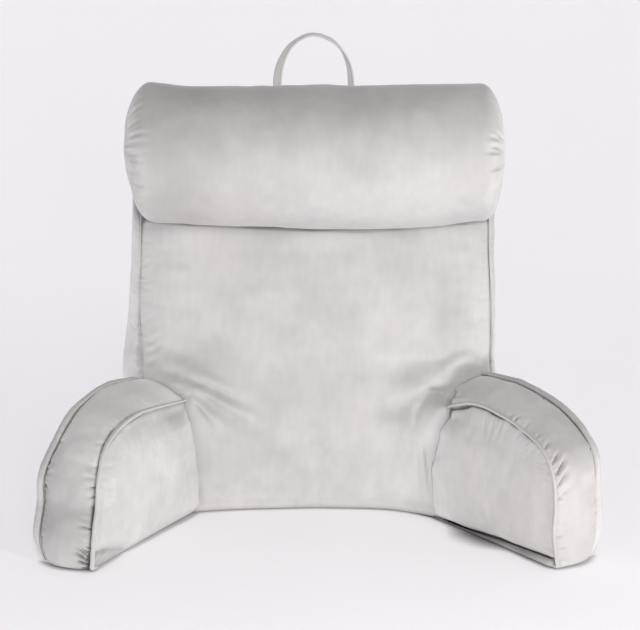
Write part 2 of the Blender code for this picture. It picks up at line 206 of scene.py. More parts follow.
@dataclass(frozen=True)
class Gathers:
    """A run of uneven pinches along a seam: their spacing and sizes, each as the least and the most."""

    seed: int
    spacing: tuple[float, float] = (0.008, 0.022)
    reach: tuple[float, float] = (0.010, 0.028)
    half_width: tuple[float, float] = (0.0016, 0.0034)
    depth: tuple[float, float] = (0.0003, 0.0012)
    slant: float = 0.5

    def pinches(self, start: float, end: float) -> list[Pinch]:
        """The pinches between two distances along the seam."""
        draw = np.random.default_rng(self.seed)
        made, at = [], start
        while at < end:
            sizes = [draw.uniform(*pair) for pair in (self.reach, self.half_width, self.depth)]
            made.append(Pinch(at, *sizes, slant=draw.uniform(-self.slant, self.slant)))
            at += draw.uniform(*self.spacing)
        return made


def pressed_by(pinches: Sequence[Pinch], along: Array, away: Array) -> Array:
    """How far all these pinches press the cloth in, point by point."""
    return sum((pinch.press(along, away) for pinch in pinches), np.zeros(along.shape))


class Skin:
    """A closed skin in the making: loops of points, and a pole at each end."""

    def __init__(self, loops: Array) -> None:
        """Takes the points.

        Args:
            loops: places with the shape (loops, points in a loop, 3).
        """
        self.loops = loops
        # painted shade marks, and painted shade and light with mottling, point by point
        self.crease = np.zeros(loops.shape[:2])
        self.nap = np.zeros(loops.shape[:2])

    def normals(self) -> Array:
        """Outward directions, point by point."""
        around = np.roll(self.loops, -1, axis=1) - np.roll(self.loops, 1, axis=1)
        onward = np.gradient(self.loops, axis=0)
        normals = np.cross(around, onward)
        normals /= np.maximum(np.linalg.norm(normals, axis=2), 1e-12)[..., None]
        middle = self.loops.mean(axis=(0, 1))
        return normals if np.sum(normals * (self.loops - middle)) > 0 else -normals

    def points(self) -> Array:
        """All its points, loop by loop, then the two poles that close it."""
        ends = self.loops[[0, 1, -1, -2]].mean(axis=1)
        poles = ends[[0, 2]] + 0.3 * (ends[[0, 2]] - ends[[1, 3]])
        return np.vstack([self.loops.reshape(-1, 3), poles])

    def push(self, amount: Array) -> None:
        """Moves each point out along its normal by its own amount."""
        self.loops = self.loops + self.normals() * amount[..., None]

    def shift(self, amount: Array, direction: Array) -> None:
        """Moves each point by its own amount along a direction."""
        self.loops = self.loops + amount[..., None] * direction

    def mark(self, share: Array) -> None:
        """Deepens the crease mark: painted shade, which darkens the velour toward its shadow colour."""
        self.crease = np.clip(np.maximum(self.crease, share), 0.0, 1.0)

    def faces(self) -> tuple[Array, Array]:
        """The quads between loops and the triangles at the poles, by point number."""
        rows, sides = self.loops.shape[:2]
        number = np.arange(rows * sides).reshape(rows, sides)
        ahead = np.roll(number, -1, axis=1)
        quads = np.stack([number[:-1], ahead[:-1], ahead[1:], number[1:]], axis=-1).reshape(-1, 4)
        first = np.full(sides, rows * sides)
        fans = [
            np.stack([ahead[0], number[0], first], axis=-1),
            np.stack([number[-1], ahead[-1], first + 1], axis=-1),
        ]
        return quads, np.vstack(fans)

    def mesh(self, name: str) -> Mesh:
        """The skin as a mesh in the part's frame, facing out, with its painted shade marks: crease, and shade
        and light with mottling.
        """
        points = self.points()
        quads, fans = self.faces()
        corners = points[np.vstack([quads[:, :3], quads[:, [0, 2, 3]], fans])]
        if np.linalg.det(corners - points.mean(axis=0)).sum() < 0:
            quads, fans = quads[:, ::-1], fans[:, ::-1]
        mesh = bpy.data.meshes.new(name)
        mesh.from_pydata((points + SHIFT).tolist(), [], quads.tolist() + fans.tolist())
        mesh.validate()
        mesh.shade_smooth()
        for word, values in (("crease", self.crease), ("nap", self.nap)):
            shares = np.concatenate([values.ravel(), values[0, :1], values[-1, :1]]).astype(np.float32)
            mesh.attributes.new(word, "FLOAT", "POINT").data.foreach_set("value", shares)
        return mesh

    def tree(self) -> BVHTree:
        """The skin's surface, to measure against, in the tables' frame."""
        points = self.points()
        quads, fans = self.faces()
        return BVHTree.FromPolygons(points.tolist(), quads.tolist() + fans.tolist())


def blurred(values: Array, times: int) -> Array:
    """A grid of values smoothed over its neighbours, joined round its second axis."""
    for _ in range(times):
        values = (np.roll(values, 1, axis=1) + 2 * values + np.roll(values, -1, axis=1)) / 4
        padded = np.concatenate([values[:1], values, values[-1:]])
        values = (padded[:-2] + 2 * padded[1:-1] + padded[2:]) / 4
    return values


def blurred_along(line: Array, times: int) -> Array:
    """A closed line of points smoothed over its neighbours."""
    for _ in range(times):
        line = (np.roll(line, 1, axis=0) + 2 * line + np.roll(line, -1, axis=0)) / 4
    return line


def in_scene(name: str, data: bpy.types.ID) -> Object:
    """A mesh, a light or a camera as a named object in the scene."""
    made = bpy.data.objects.new(name, data)
    bpy.context.scene.collection.objects.link(made)
    return made


def evaluated(piece: Object) -> Mesh:
    """An object's shape after its modifiers, as a plain mesh."""
    graph = bpy.context.evaluated_depsgraph_get()
    return bpy.data.meshes.new_from_object(piece.evaluated_get(graph))


def points_of(mesh: Mesh) -> Array:
    """A mesh's points in the tables' frame."""
    return np.array([tuple(vertex.co) for vertex in mesh.vertices]) - SHIFT


def search_tree(points: Array) -> KDTree:
    """A tree that finds the nearest of these points."""
    tree = KDTree(len(points))
    for index, point in enumerate(points):
        tree.insert(point, index)
    tree.balance()
    return tree


def put(name: str, mesh: Mesh, material: Material) -> Object:
    """A mesh as a named object in the scene, with its material."""
    piece = in_scene(name, mesh)
    mesh.materials.clear()
    mesh.materials.append(material)
    return piece


# ---- Stuffing: a short cloth simulation ----


@dataclass(frozen=True)
class Stuffing:
    """How a cover is filled: cloth under air pressure, held along its seams."""

    voxel: float = 0.0055
    pressure: float = 4.0
    slack: float = 0.03  # extra cloth, as a share of its length
    cap: float = 0.007  # how far a point may move
    held_within: float = 0.007  # cloth this near a seam stays
    keep_broad: float = 0.15  # share of the broad swelling that is kept beside the wrinkles
    blur: int = 60
    calm: int = 2  # how often the movement is smoothed over its neighbours
    frames: int = 20

    def fill(self, skin: Skin, held: Array, free: Array | float = 1.0) -> None:
        """Swells a skin and wrinkles it.

        Args:
            skin: the cover, which is changed.
            held: points along its seams, which don't move.
            free: the share of the movement that each point keeps.
        """
        scene = bpy.context.scene
        body = put("stuffing", skin.mesh("stuffing"), bpy.data.materials.new("plain"))
        remesh = body.modifiers.new("Even", "REMESH")
        remesh.mode, remesh.voxel_size = "VOXEL", self.voxel
        even = evaluated(body)
        bpy.data.objects.remove(body)
        body = in_scene("stuffing", even)
        rest = points_of(even)

        seams = search_tree(held)
        group = body.vertex_groups.new(name="held")
        for index, point in enumerate(rest):
            near = seams.find(point)[2]
            if near < 2 * self.held_within:
                weight = 1.0 if near < self.held_within else 2 - near / self.held_within
                group.add([index], weight, "REPLACE")

        cloth = body.modifiers.new("Filling", "CLOTH")
        settings = cloth.settings
        settings.quality = 4
        settings.mass = 0.15
        settings.tension_stiffness = settings.compression_stiffness = 12.0
        settings.shear_stiffness, settings.bending_stiffness = 4.0, 0.4
        settings.use_pressure, settings.uniform_pressure_force = True, self.pressure
        settings.shrink_min = -self.slack
        settings.vertex_group_mass = "held"
        settings.effector_weights.gravity = 0.0
        cloth.collision_settings.use_collision = False
        cloth.point_cache.frame_start, cloth.point_cache.frame_end = 1, self.frames
        for number in range(1, self.frames + 1):
            scene.frame_set(number)
        moved = points_of(evaluated(body)) - rest
        bpy.data.objects.remove(body)
        scene.frame_set(1)

        size = np.linalg.norm(moved, axis=1)
        moved *= np.where(size > self.cap, self.cap / np.maximum(size, 1e-9), 1.0)[:, None]
        ends = np.empty(2 * len(even.edges), dtype=np.int32)
        even.edges.foreach_get("vertices", ends)
        ends = ends.reshape(-1, 2)
        around = 1 + np.bincount(ends.ravel(), minlength=len(rest))
        for _ in range(self.calm):
            total = moved.copy()
            np.add.at(total, ends[:, 0], moved[ends[:, 1]])
            np.add.at(total, ends[:, 1], moved[ends[:, 0]])
            moved = total / around[:, None]
        cloth_points = search_tree(rest)
        flat = skin.loops.reshape(-1, 3)
        change = np.zeros_like(flat)
        for index, point in enumerate(flat):
            found = cloth_points.find_n(point, 5)
            share = np.array([1 / (distance**2 + 1e-7) for _, _, distance in found])
            change[index] = share @ moved[[number for _, number, _ in found]] / share.sum()
        change = change.reshape(skin.loops.shape)
        broad = blurred(change, self.blur)
        change = (change - broad * (1 - self.keep_broad)) * np.asarray(free)[..., None]
        change[..., 2] *= fade(skin.loops[..., 2], 0.001, 0.012)
        skin.loops = skin.loops + change
        LOG.info("  filled: moved up to %.1f mm", 1000 * np.linalg.norm(change, axis=2).max())


# ---- Finishes ----


class Nodes:
    """A material's node tree, with short calls to add and join nodes."""

    def __init__(self, name: str) -> None:
        """Starts the material.

        Args:
            name: its name.
        """
        self.material = bpy.data.materials.new(name)
        self.material.use_nodes = True
        self.tree = self.material.node_tree
        self.shader = self.tree.nodes["Principled BSDF"]

    def add(self, kind: str, **inputs: object) -> Node:
        """Adds a node.

        Args:
            kind: Blender's name of the node type.
            inputs: properties of the node, or values and links of its inputs, with _ for a space.

        Returns:
            The node.
        """
        node = self.tree.nodes.new(kind)
        for key, value in inputs.items():
            if hasattr(node, key):
                setattr(node, key, value)
        for key, value in inputs.items():
            if hasattr(node, key):
                continue
            socket = node.inputs[int(key[1:])] if key[1:].isdigit() else node.inputs[key.replace("_", " ")]
            self.feed(socket, value)
        return node

    def feed(self, socket: Socket, value: object) -> None:
        """Links a socket, or sets its value."""
        if isinstance(value, Socket):
            self.tree.links.new(value, socket)
        else:
            socket.default_value = value

    def surface(self, **inputs: object) -> Material:
        """Feeds the shader's inputs, named with _ for a space, and gives the finished material."""
        for key, value in inputs.items():
            self.feed(self.shader.inputs[key.replace("_", " ")], value)
        return self.material

    def noise(self, place: Socket, scale: float, detail: float = 3.0) -> Socket:
        """Plain noise from 0 to 1 at a place."""
        return self.add("ShaderNodeTexNoise", Vector=place, Scale=scale, Detail=detail).outputs[0]

    def ramp(self, value: Socket, span: Sequence[float], to: Sequence[float]) -> Socket:
        """A value mapped from one span to another, held at its ends."""
        made = self.add("ShaderNodeMapRange", interpolation_type="SMOOTHSTEP", Value=value)
        for index, number in zip(range(1, 5), (*span, *to)):
            made.inputs[index].default_value = number
        return made.outputs[0]

    def mix(self, share: object, first: object, second: object, blend: str = "MIX") -> Socket:
        """Two colours mixed."""
        node = self.tree.nodes.new("ShaderNodeMix")
        node.data_type, node.blend_type = "RGBA", blend
        for index, value in ((0, share), (6, first), (7, second)):
            self.feed(node.inputs[index], value)
        return node.outputs[2]

    def relief(self, strength: float, distance: float, height: Socket, under: Socket | None = None) -> Socket:
        """Fine relief from a height, on top of another one."""
        made = self.add("ShaderNodeBump", Strength=strength, Distance=distance, Height=height)
        if under is not None:
            self.feed(made.inputs["Normal"], under)
        return made.outputs[0]

    def math(self, operation: str, first: object, second: object) -> Socket:
        """One operation on two numbers."""
        return self.add("ShaderNodeMath", operation=operation, _0=first, _1=second).outputs[0]


@dataclass(frozen=True)
class Velour:
    """A silver velour: short pile with soft blotches where a hand has passed, and painted shade in marks and
    on faces that look up.
    """

    name: str
    light: tuple[float, float, float] = (0.760, 0.738, 0.728)
    dark: tuple[float, float, float] = (0.665, 0.648, 0.645)
    warm: tuple[float, float, float] = (0.765, 0.726, 0.710)
    cool: tuple[float, float, float] = (0.700, 0.708, 0.690)
    shadow: tuple[float, float, float] = (0.16, 0.155, 0.16)  # painted shade: the colour that the crease marks darken the pile toward
    turned: tuple[float, float] = (1.03, 0.66)  # painted shade by facing: the tone on a face that looks down, and on one that looks up
    sheen: float = 0.25
    pile: float = 0.00025

    def material(self) -> Material:
        """Builds the material."""
        made = Nodes(self.name)
        place = made.add("ShaderNodeTexCoord").outputs["Object"]
        geometry = made.add("ShaderNodeNewGeometry")
        blotch = made.ramp(made.noise(place, 8.0, 4.0), (0.40, 0.60), (0.0, 1.0))
        colour = made.mix(blotch, (*self.dark, 1), (*self.light, 1))
        patch = made.ramp(made.noise(place, 26.0, 3.0), (0.40, 0.66), (0.0, 0.5))
        colour = made.mix(patch, colour, (*self.light, 1))
        across = made.add("ShaderNodeSeparateXYZ", _0=place).outputs[0]
        leftward = made.ramp(across, (-0.30, 0.20), (0.07, -0.01))
        tint = made.math("ADD", made.noise(place, 5.0, 2.0), leftward)
        colour = made.mix(made.ramp(tint, (0.52, 0.68), (0.0, 0.75)), colour, (*self.warm, 1))
        colour = made.mix(made.ramp(tint, (0.46, 0.32), (0.0, 0.75)), colour, (*self.cool, 1))
        streaks = made.add("ShaderNodeMapping", Vector=place)
        streaks.inputs["Scale"].default_value = (120.0, 120.0, 34.0)
        brushed = made.ramp(made.noise(streaks.outputs[0], 1.0, 3.0), (0.35, 0.65), (0.982, 1.012))
        # Painted shade by facing: faces that look up are darkened, along an uneven edge.
        upward = made.add("ShaderNodeSeparateXYZ", _0=geometry.outputs["Normal"]).outputs[2]
        wander = made.math("MULTIPLY", made.math("SUBTRACT", made.noise(place, 13.0, 4.0), 0.5), 0.7)
        turned = made.ramp(made.math("ADD", upward, wander), (-0.15, 0.90), self.turned)
        # Each piece's painted shade and light, with its mottling, darken or lighten the colour.
        nap = made.add("ShaderNodeAttribute", attribute_name="nap").outputs["Fac"]
        kept = made.math("SUBTRACT", 1.0, nap)
        tone = made.math("MULTIPLY", made.math("MULTIPLY", brushed, turned), kept)
        colour = made.mix(1.0, colour, tone, "MULTIPLY")
        # Painted shade: the crease marks darken the colour toward the shadow colour.
        crease = made.add("ShaderNodeAttribute", attribute_name="crease").outputs["Fac"]
        colour = made.mix(made.ramp(crease, (0.1, 1.0), (0.0, 0.9)), colour, (*self.shadow, 1))
        crushed = made.relief(0.35, 0.0012, made.noise(place, 95.0, 4.0))
        return made.surface(
            Base_Color=colour,
            Roughness=made.ramp(blotch, (0.0, 1.0), (0.78, 0.66)),
            Sheen_Weight=self.sheen,
            Sheen_Roughness=0.38,
            Sheen_Tint=(1.0, 0.985, 0.975, 1.0),
            Specular_IOR_Level=0.22,
            Normal=made.relief(0.5, self.pile, made.noise(place, 1500.0, 2.0), crushed),
        )


@dataclass(frozen=True)
class Thread:
    """The sewing thread: fine, a little shiny, with a twist."""

    name: str
    colour: tuple[float, float, float] = (0.60, 0.595, 0.59)

    def material(self) -> Material:
        """Builds the material."""
        made = Nodes(self.name)
        place = made.add("ShaderNodeTexCoord").outputs["Object"]
        shade = made.ramp(made.noise(place, 900.0, 2.0), (0.3, 0.7), (0.85, 1.05))
        return made.surface(
            Base_Color=made.mix(1.0, (*self.colour, 1), shade, "MULTIPLY"),
            Roughness=0.55,
            Normal=made.relief(0.4, 0.0002, made.noise(place, 2400.0)),
        )


@dataclass(frozen=True)
class Paper:
    """The pale sweep that the pillow stands on."""

    name: str
    colour: tuple[float, float, float] = (0.88, 0.865, 0.885)
    glow: float = 0.22  # how brightly it glows far behind the pillow
    glow_near: float = 0.20  # the same round the pillow
    dim: float = 0.50  # share of its colour in the half of the room before the pillow
    dim_from: tuple[float, float] = (-1.1, -2.2)  # where it starts to dim, and where it has
    # how near something must stand to shade it, and its tone where that touches it
    contact: tuple[float, float] = (0.010, 0.78)
    # middle and reach of a deeper shade, under the right arm
    pool: tuple[float, float, float] = (0.188, -0.098, 0.085)
    pool_contact: tuple[float, float] = (0.046, 0.22)  # the same there

    def material(self) -> Material:
        """Builds the material."""
        made = Nodes(self.name)
        place = made.add("ShaderNodeTexCoord").outputs["Object"]
        grain = made.ramp(made.noise(place, 3.0, 2.0), (0.3, 0.7), (0.995, 1.005))
        depth = made.add("ShaderNodeSeparateXYZ", _0=place).outputs[1]
        lit = made.ramp(depth, self.dim_from[::-1], (0.0, 1.0))
        shade = made.math("MULTIPLY", grain, made.ramp(lit, (0.0, 1.0), (self.dim, 1.0)))
        apart = made.add("ShaderNodeVectorMath", operation="DISTANCE", _0=place, _1=(*self.pool[:2], 0.0))
        pooled = made.ramp(apart.outputs["Value"], (0.0, self.pool[2]), (1.0, 0.0))
        pairs = zip(self.contact, self.pool_contact)
        distance, tone = (made.ramp(pooled, (0.0, 1.0), pair) for pair in pairs)
        near = made.add("ShaderNodeAmbientOcclusion", samples=6, Distance=distance).outputs["AO"]
        free = made.ramp(near, (0.40, 1.0), (0.0, 1.0))
        free = made.math("MULTIPLY", free, made.math("SUBTRACT", 1.0, tone))
        shade = made.math("MULTIPLY", shade, made.math("ADD", tone, free))
        glow = made.ramp(depth, (0.2, 1.6), (self.glow_near, self.glow))
        glow = made.math("MULTIPLY", glow, made.ramp(near, (0.45, 1.0), (0.0, 1.0)))
        return made.surface(
            Base_Color=made.mix(1.0, (*self.colour, 1), shade, "MULTIPLY"),
            Roughness=0.95,
            Specular_IOR_Level=0.1,
            Emission_Color=(1.0, 0.985, 1.0, 1.0),
            Emission_Strength=made.math("MULTIPLY", lit, glow),
        )


# ---- Piping and stitches, which follow a path ----


class PathTree:
    """A Geometry Nodes tree that runs something along a path of edges."""

    def __init__(self, name: str) -> None:
        """Starts the tree with its path coming in and its geometry going out.

        Args:
            name: its name.
        """
        self.tree = bpy.data.node_groups.new(name, "GeometryNodeTree")
        self.inputs: dict[str, str] = {}
        sockets = self.tree.interface
        sockets.new_socket("Geometry", in_out="INPUT", socket_type="NodeSocketGeometry")
        sockets.new_socket("Geometry", in_out="OUTPUT", socket_type="NodeSocketGeometry")
        self.start = self.tree.nodes.new("NodeGroupInput")
        self.end = self.tree.nodes.new("NodeGroupOutput")

    def size(self, name: str, kind: str = "NodeSocketFloat") -> Socket:
        """Adds a named input and gives its socket."""
        made = self.tree.interface.new_socket(name, in_out="INPUT", socket_type=kind)
        self.inputs[name] = made.identifier
        return next(socket for socket in self.start.outputs if socket.identifier == made.identifier)

    def add(self, kind: str, links: dict[int | str, object] | None = None, **settings: object) -> Node:
        """Adds a node.

        Args:
            kind: Blender's name of the node type.
            links: what each input, by name or number, is linked or set to.
            settings: properties of the node.

        Returns:
            The node.
        """
        node = self.tree.nodes.new(kind)
        for key, value in settings.items():
            setattr(node, key, value)
        for key, value in (links or {}).items():
            if isinstance(value, Socket):
                self.tree.links.new(value, node.inputs[key])
            else:
                node.inputs[key].default_value = value
        return node

    def finish(self, shape: Socket) -> None:
        """Ends the tree with real geometry in its material."""
        real = self.add("GeometryNodeRealizeInstances", {0: shape})
        material = self.size("Material", "NodeSocketMaterial")
        dressed = self.add("GeometryNodeSetMaterial", {0: real.outputs[0], "Material": material})
        self.tree.links.new(dressed.outputs[0], self.end.inputs[0])

    def run(self, name: str, path: Mesh, values: dict[str, object]) -> Mesh:
        """Runs the tree on a path.

        Args:
            name: the name of the mesh that comes out.
            path: a mesh of edges.
            values: what the named inputs are set to.

        Returns:
            A plain mesh.
        """
        guide = in_scene(name + "_path", path)
        modifier = guide.modifiers.new("Path", "NODES")
        modifier.node_group = self.tree
        for key, value in values.items():
            modifier[self.inputs[key]] = value
        mesh = evaluated(guide)
        guide.modifiers.remove(modifier)
        bpy.data.objects.remove(guide)
        mesh.name = name
        return mesh


def path_mesh(name: str, points: Array, thickness: Array | None = None) -> Mesh:
    """A chain of edges in the part's frame, with the thickness share of each point."""
    mesh = bpy.data.meshes.new(name)
    numbers = np.arange(len(points))
    mesh.from_pydata((points + SHIFT).tolist(), np.stack([numbers[:-1], numbers[1:]], axis=1).tolist(), [])
    share = np.ones(len(points)) if thickness is None else thickness
    mesh.attributes.new("thickness", "FLOAT", "POINT").data.foreach_set("value", share.astype(np.float32))
    return mesh


def piping_tree() -> PathTree:
    """A soft welt: a round of cloth over a cord, a little uneven."""
    made = PathTree("Piping")
    radius, lumps, seed = made.size("Radius"), made.size("Lumps"), made.size("Seed")
    curve = made.add("GeometryNodeMeshToCurve", {0: made.start.outputs[0]})
    count = made.add("GeometryNodeResampleCurve", {0: curve.outputs[0], "Length": 0.0016}, mode="LENGTH")
    place = made.add("GeometryNodeInputPosition")
    noise = made.add(
        "ShaderNodeTexNoise",
        {"Vector": place.outputs[0], "W": seed, "Scale": 110.0, "Detail": 2.0},
        noise_dimensions="4D",
    )
    centred = made.add("ShaderNodeMath", {0: noise.outputs[0], 1: 0.5}, operation="SUBTRACT")
    uneven = made.add("ShaderNodeMath", {0: centred.outputs[0], 1: lumps, 2: 1.0}, operation="MULTIPLY_ADD")
    named = made.add("GeometryNodeInputNamedAttribute", {"Name": "thickness"}, data_type="FLOAT")
    share = made.add("ShaderNodeMath", {0: uneven.outputs[0], 1: named.outputs[0]}, operation="MULTIPLY")
    sized = made.add("ShaderNodeMath", {0: share.outputs[0], 1: radius}, operation="MULTIPLY")
    circle = made.add("GeometryNodeCurvePrimitiveCircle", {"Resolution": 14, "Radius": 1.0})
    links = {0: count.outputs[0], 1: circle.outputs[0], "Scale": sized.outputs[0], "Fill Caps": True}
    swept = made.add("GeometryNodeCurveToMesh", links)
    smooth = made.add("GeometryNodeSetShadeSmooth", {0: swept.outputs[0]})
    made.finish(smooth.outputs[0])
    return made


def stitch_tree() -> PathTree:
    """A row of short stitches."""
    made = PathTree("Stitches")
    pitch, length, radius = made.size("Pitch"), made.size("Length"), made.size("Radius")
    curve = made.add("GeometryNodeMeshToCurve", {0: made.start.outputs[0]})
    dots = made.add("GeometryNodeResampleCurve", {0: curve.outputs[0], "Length": pitch}, mode="LENGTH")
    tangent = made.add("GeometryNodeInputTangent")
    turned = made.add("FunctionNodeAlignRotationToVector", {"Vector": tangent.outputs[0]}, axis="Z")
    stitch = made.add("GeometryNodeMeshUVSphere", {"Segments": 6, "Rings": 5, "Radius": 1.0})
    half = made.add("ShaderNodeMath", {0: length, 1: 0.5}, operation="MULTIPLY")
    size = made.add("ShaderNodeCombineXYZ", {0: radius, 1: radius, 2: half.outputs[0]})
    rows = made.add(
        "GeometryNodeInstanceOnPoints",
        {
            "Points": dots.outputs[0],
            "Instance": stitch.outputs[0],
            "Rotation": turned.outputs[0],
            "Scale": size.outputs[0],
        },
    )
    real = made.add("GeometryNodeRealizeInstances", {0: rows.outputs[0]})
    smooth = made.add("GeometryNodeSetShadeSmooth", {0: real.outputs[0]})
    made.finish(smooth.outputs[0])
    return made


@dataclass
class Piping:
    """One welt: the piece, the CAD node that it stands for, its line and its size."""

    name: str
    node: str
    line: Array
    radius: float = 0.0031
    lumps: float = 0.35
    seed: float = 1.0
    thickness: Array | None = None

    def build(self, tree: PathTree, finish: Material) -> Object:
        """Builds the welt.

        Args:
            tree: the piping tree.
            finish: its velour.

        Returns:
            The piece, riding on the pillow.
        """
        values = {"Radius": self.radius, "Lumps": self.lumps, "Seed": self.seed, "Material": finish}
        mesh = tree.run(self.name, path_mesh(self.name, self.line, self.thickness), values)
        piece = put(self.name, mesh, finish)
        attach(piece, "root")
        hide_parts(self.node)
        return piece


# ---- The back cushion ----


class Cover:
    """What the filled covers share. Each has its own details, skin, seam points and dressing."""

    def free(self, skin: Skin) -> Array | float:
        """The share of the filling's movement that each point keeps."""
        return 1.0

    def build(self, stuffing: Stuffing, finish: Material) -> Object:
        """Builds the cover.

        Args:
            stuffing: how it is filled.
            finish: its velour.

        Returns:
            The piece.
        """
        skin = self.skin()
        stuffing.fill(skin, self.seam_points(skin), self.free(skin))
        self.dress(skin)
        self.settle(skin)
        name, node, fill = self.details()
        piece = put(name, skin.mesh(name), finish)
        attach(piece, "root")
        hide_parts(node)
        return piece


@dataclass(frozen=True)
class Fold:
    """A soft fold in a panel: the line of its crest or, where it falls, of its valley."""

    line: tuple[tuple[float, float], ...]  # x and height
    half_width: float
    rise: float
    ends: tuple[float, float] = (0.30, 0.55)  # shares of its length over which it starts and dies out
    spread: float = 1.5  # how many times as wide it is at its end as at its start
    mark: float = 0.0  # how dark the painted shade along its line is

    def lift(self, x: Array, z: Array) -> Array:
        """How far the fold lifts the panel at each point."""
        path = along_length(spread_through(self.line, 60), 13)
        spare = 3.2 * self.half_width * max(self.spread, 1.0)
        near = (x > path[:, 0].min() - spare) & (x < path[:, 0].max() + spare)
        near = near & (z > path[:, 1].min() - spare) & (z < path[:, 1].max() + spare)
        lifted = np.zeros(near.shape)
        points = np.stack(np.broadcast_arrays(x, z), axis=-1)[near]
        best, share = np.full(len(points), np.inf), np.zeros(len(points))
        for index, (start, end) in enumerate(zip(path[:-1], path[1:])):
            run = end - start
            t = np.clip((points - start) @ run / (run @ run), 0, 1)
            apart = np.linalg.norm(points - start - t[:, None] * run, axis=1)
            closer = apart < best
            best = np.where(closer, apart, best)
            share = np.where(closer, (index + t) / (len(path) - 1), share)
        width = self.half_width * (1 + (self.spread - 1) * share)
        ends = fade(share, 0.0, self.ends[0]) * (1 - fade(share, 1 - self.ends[1], 1.0))
        lifted[near] = self.rise * ends * np.exp(-((best / width) ** 2))
        return lifted


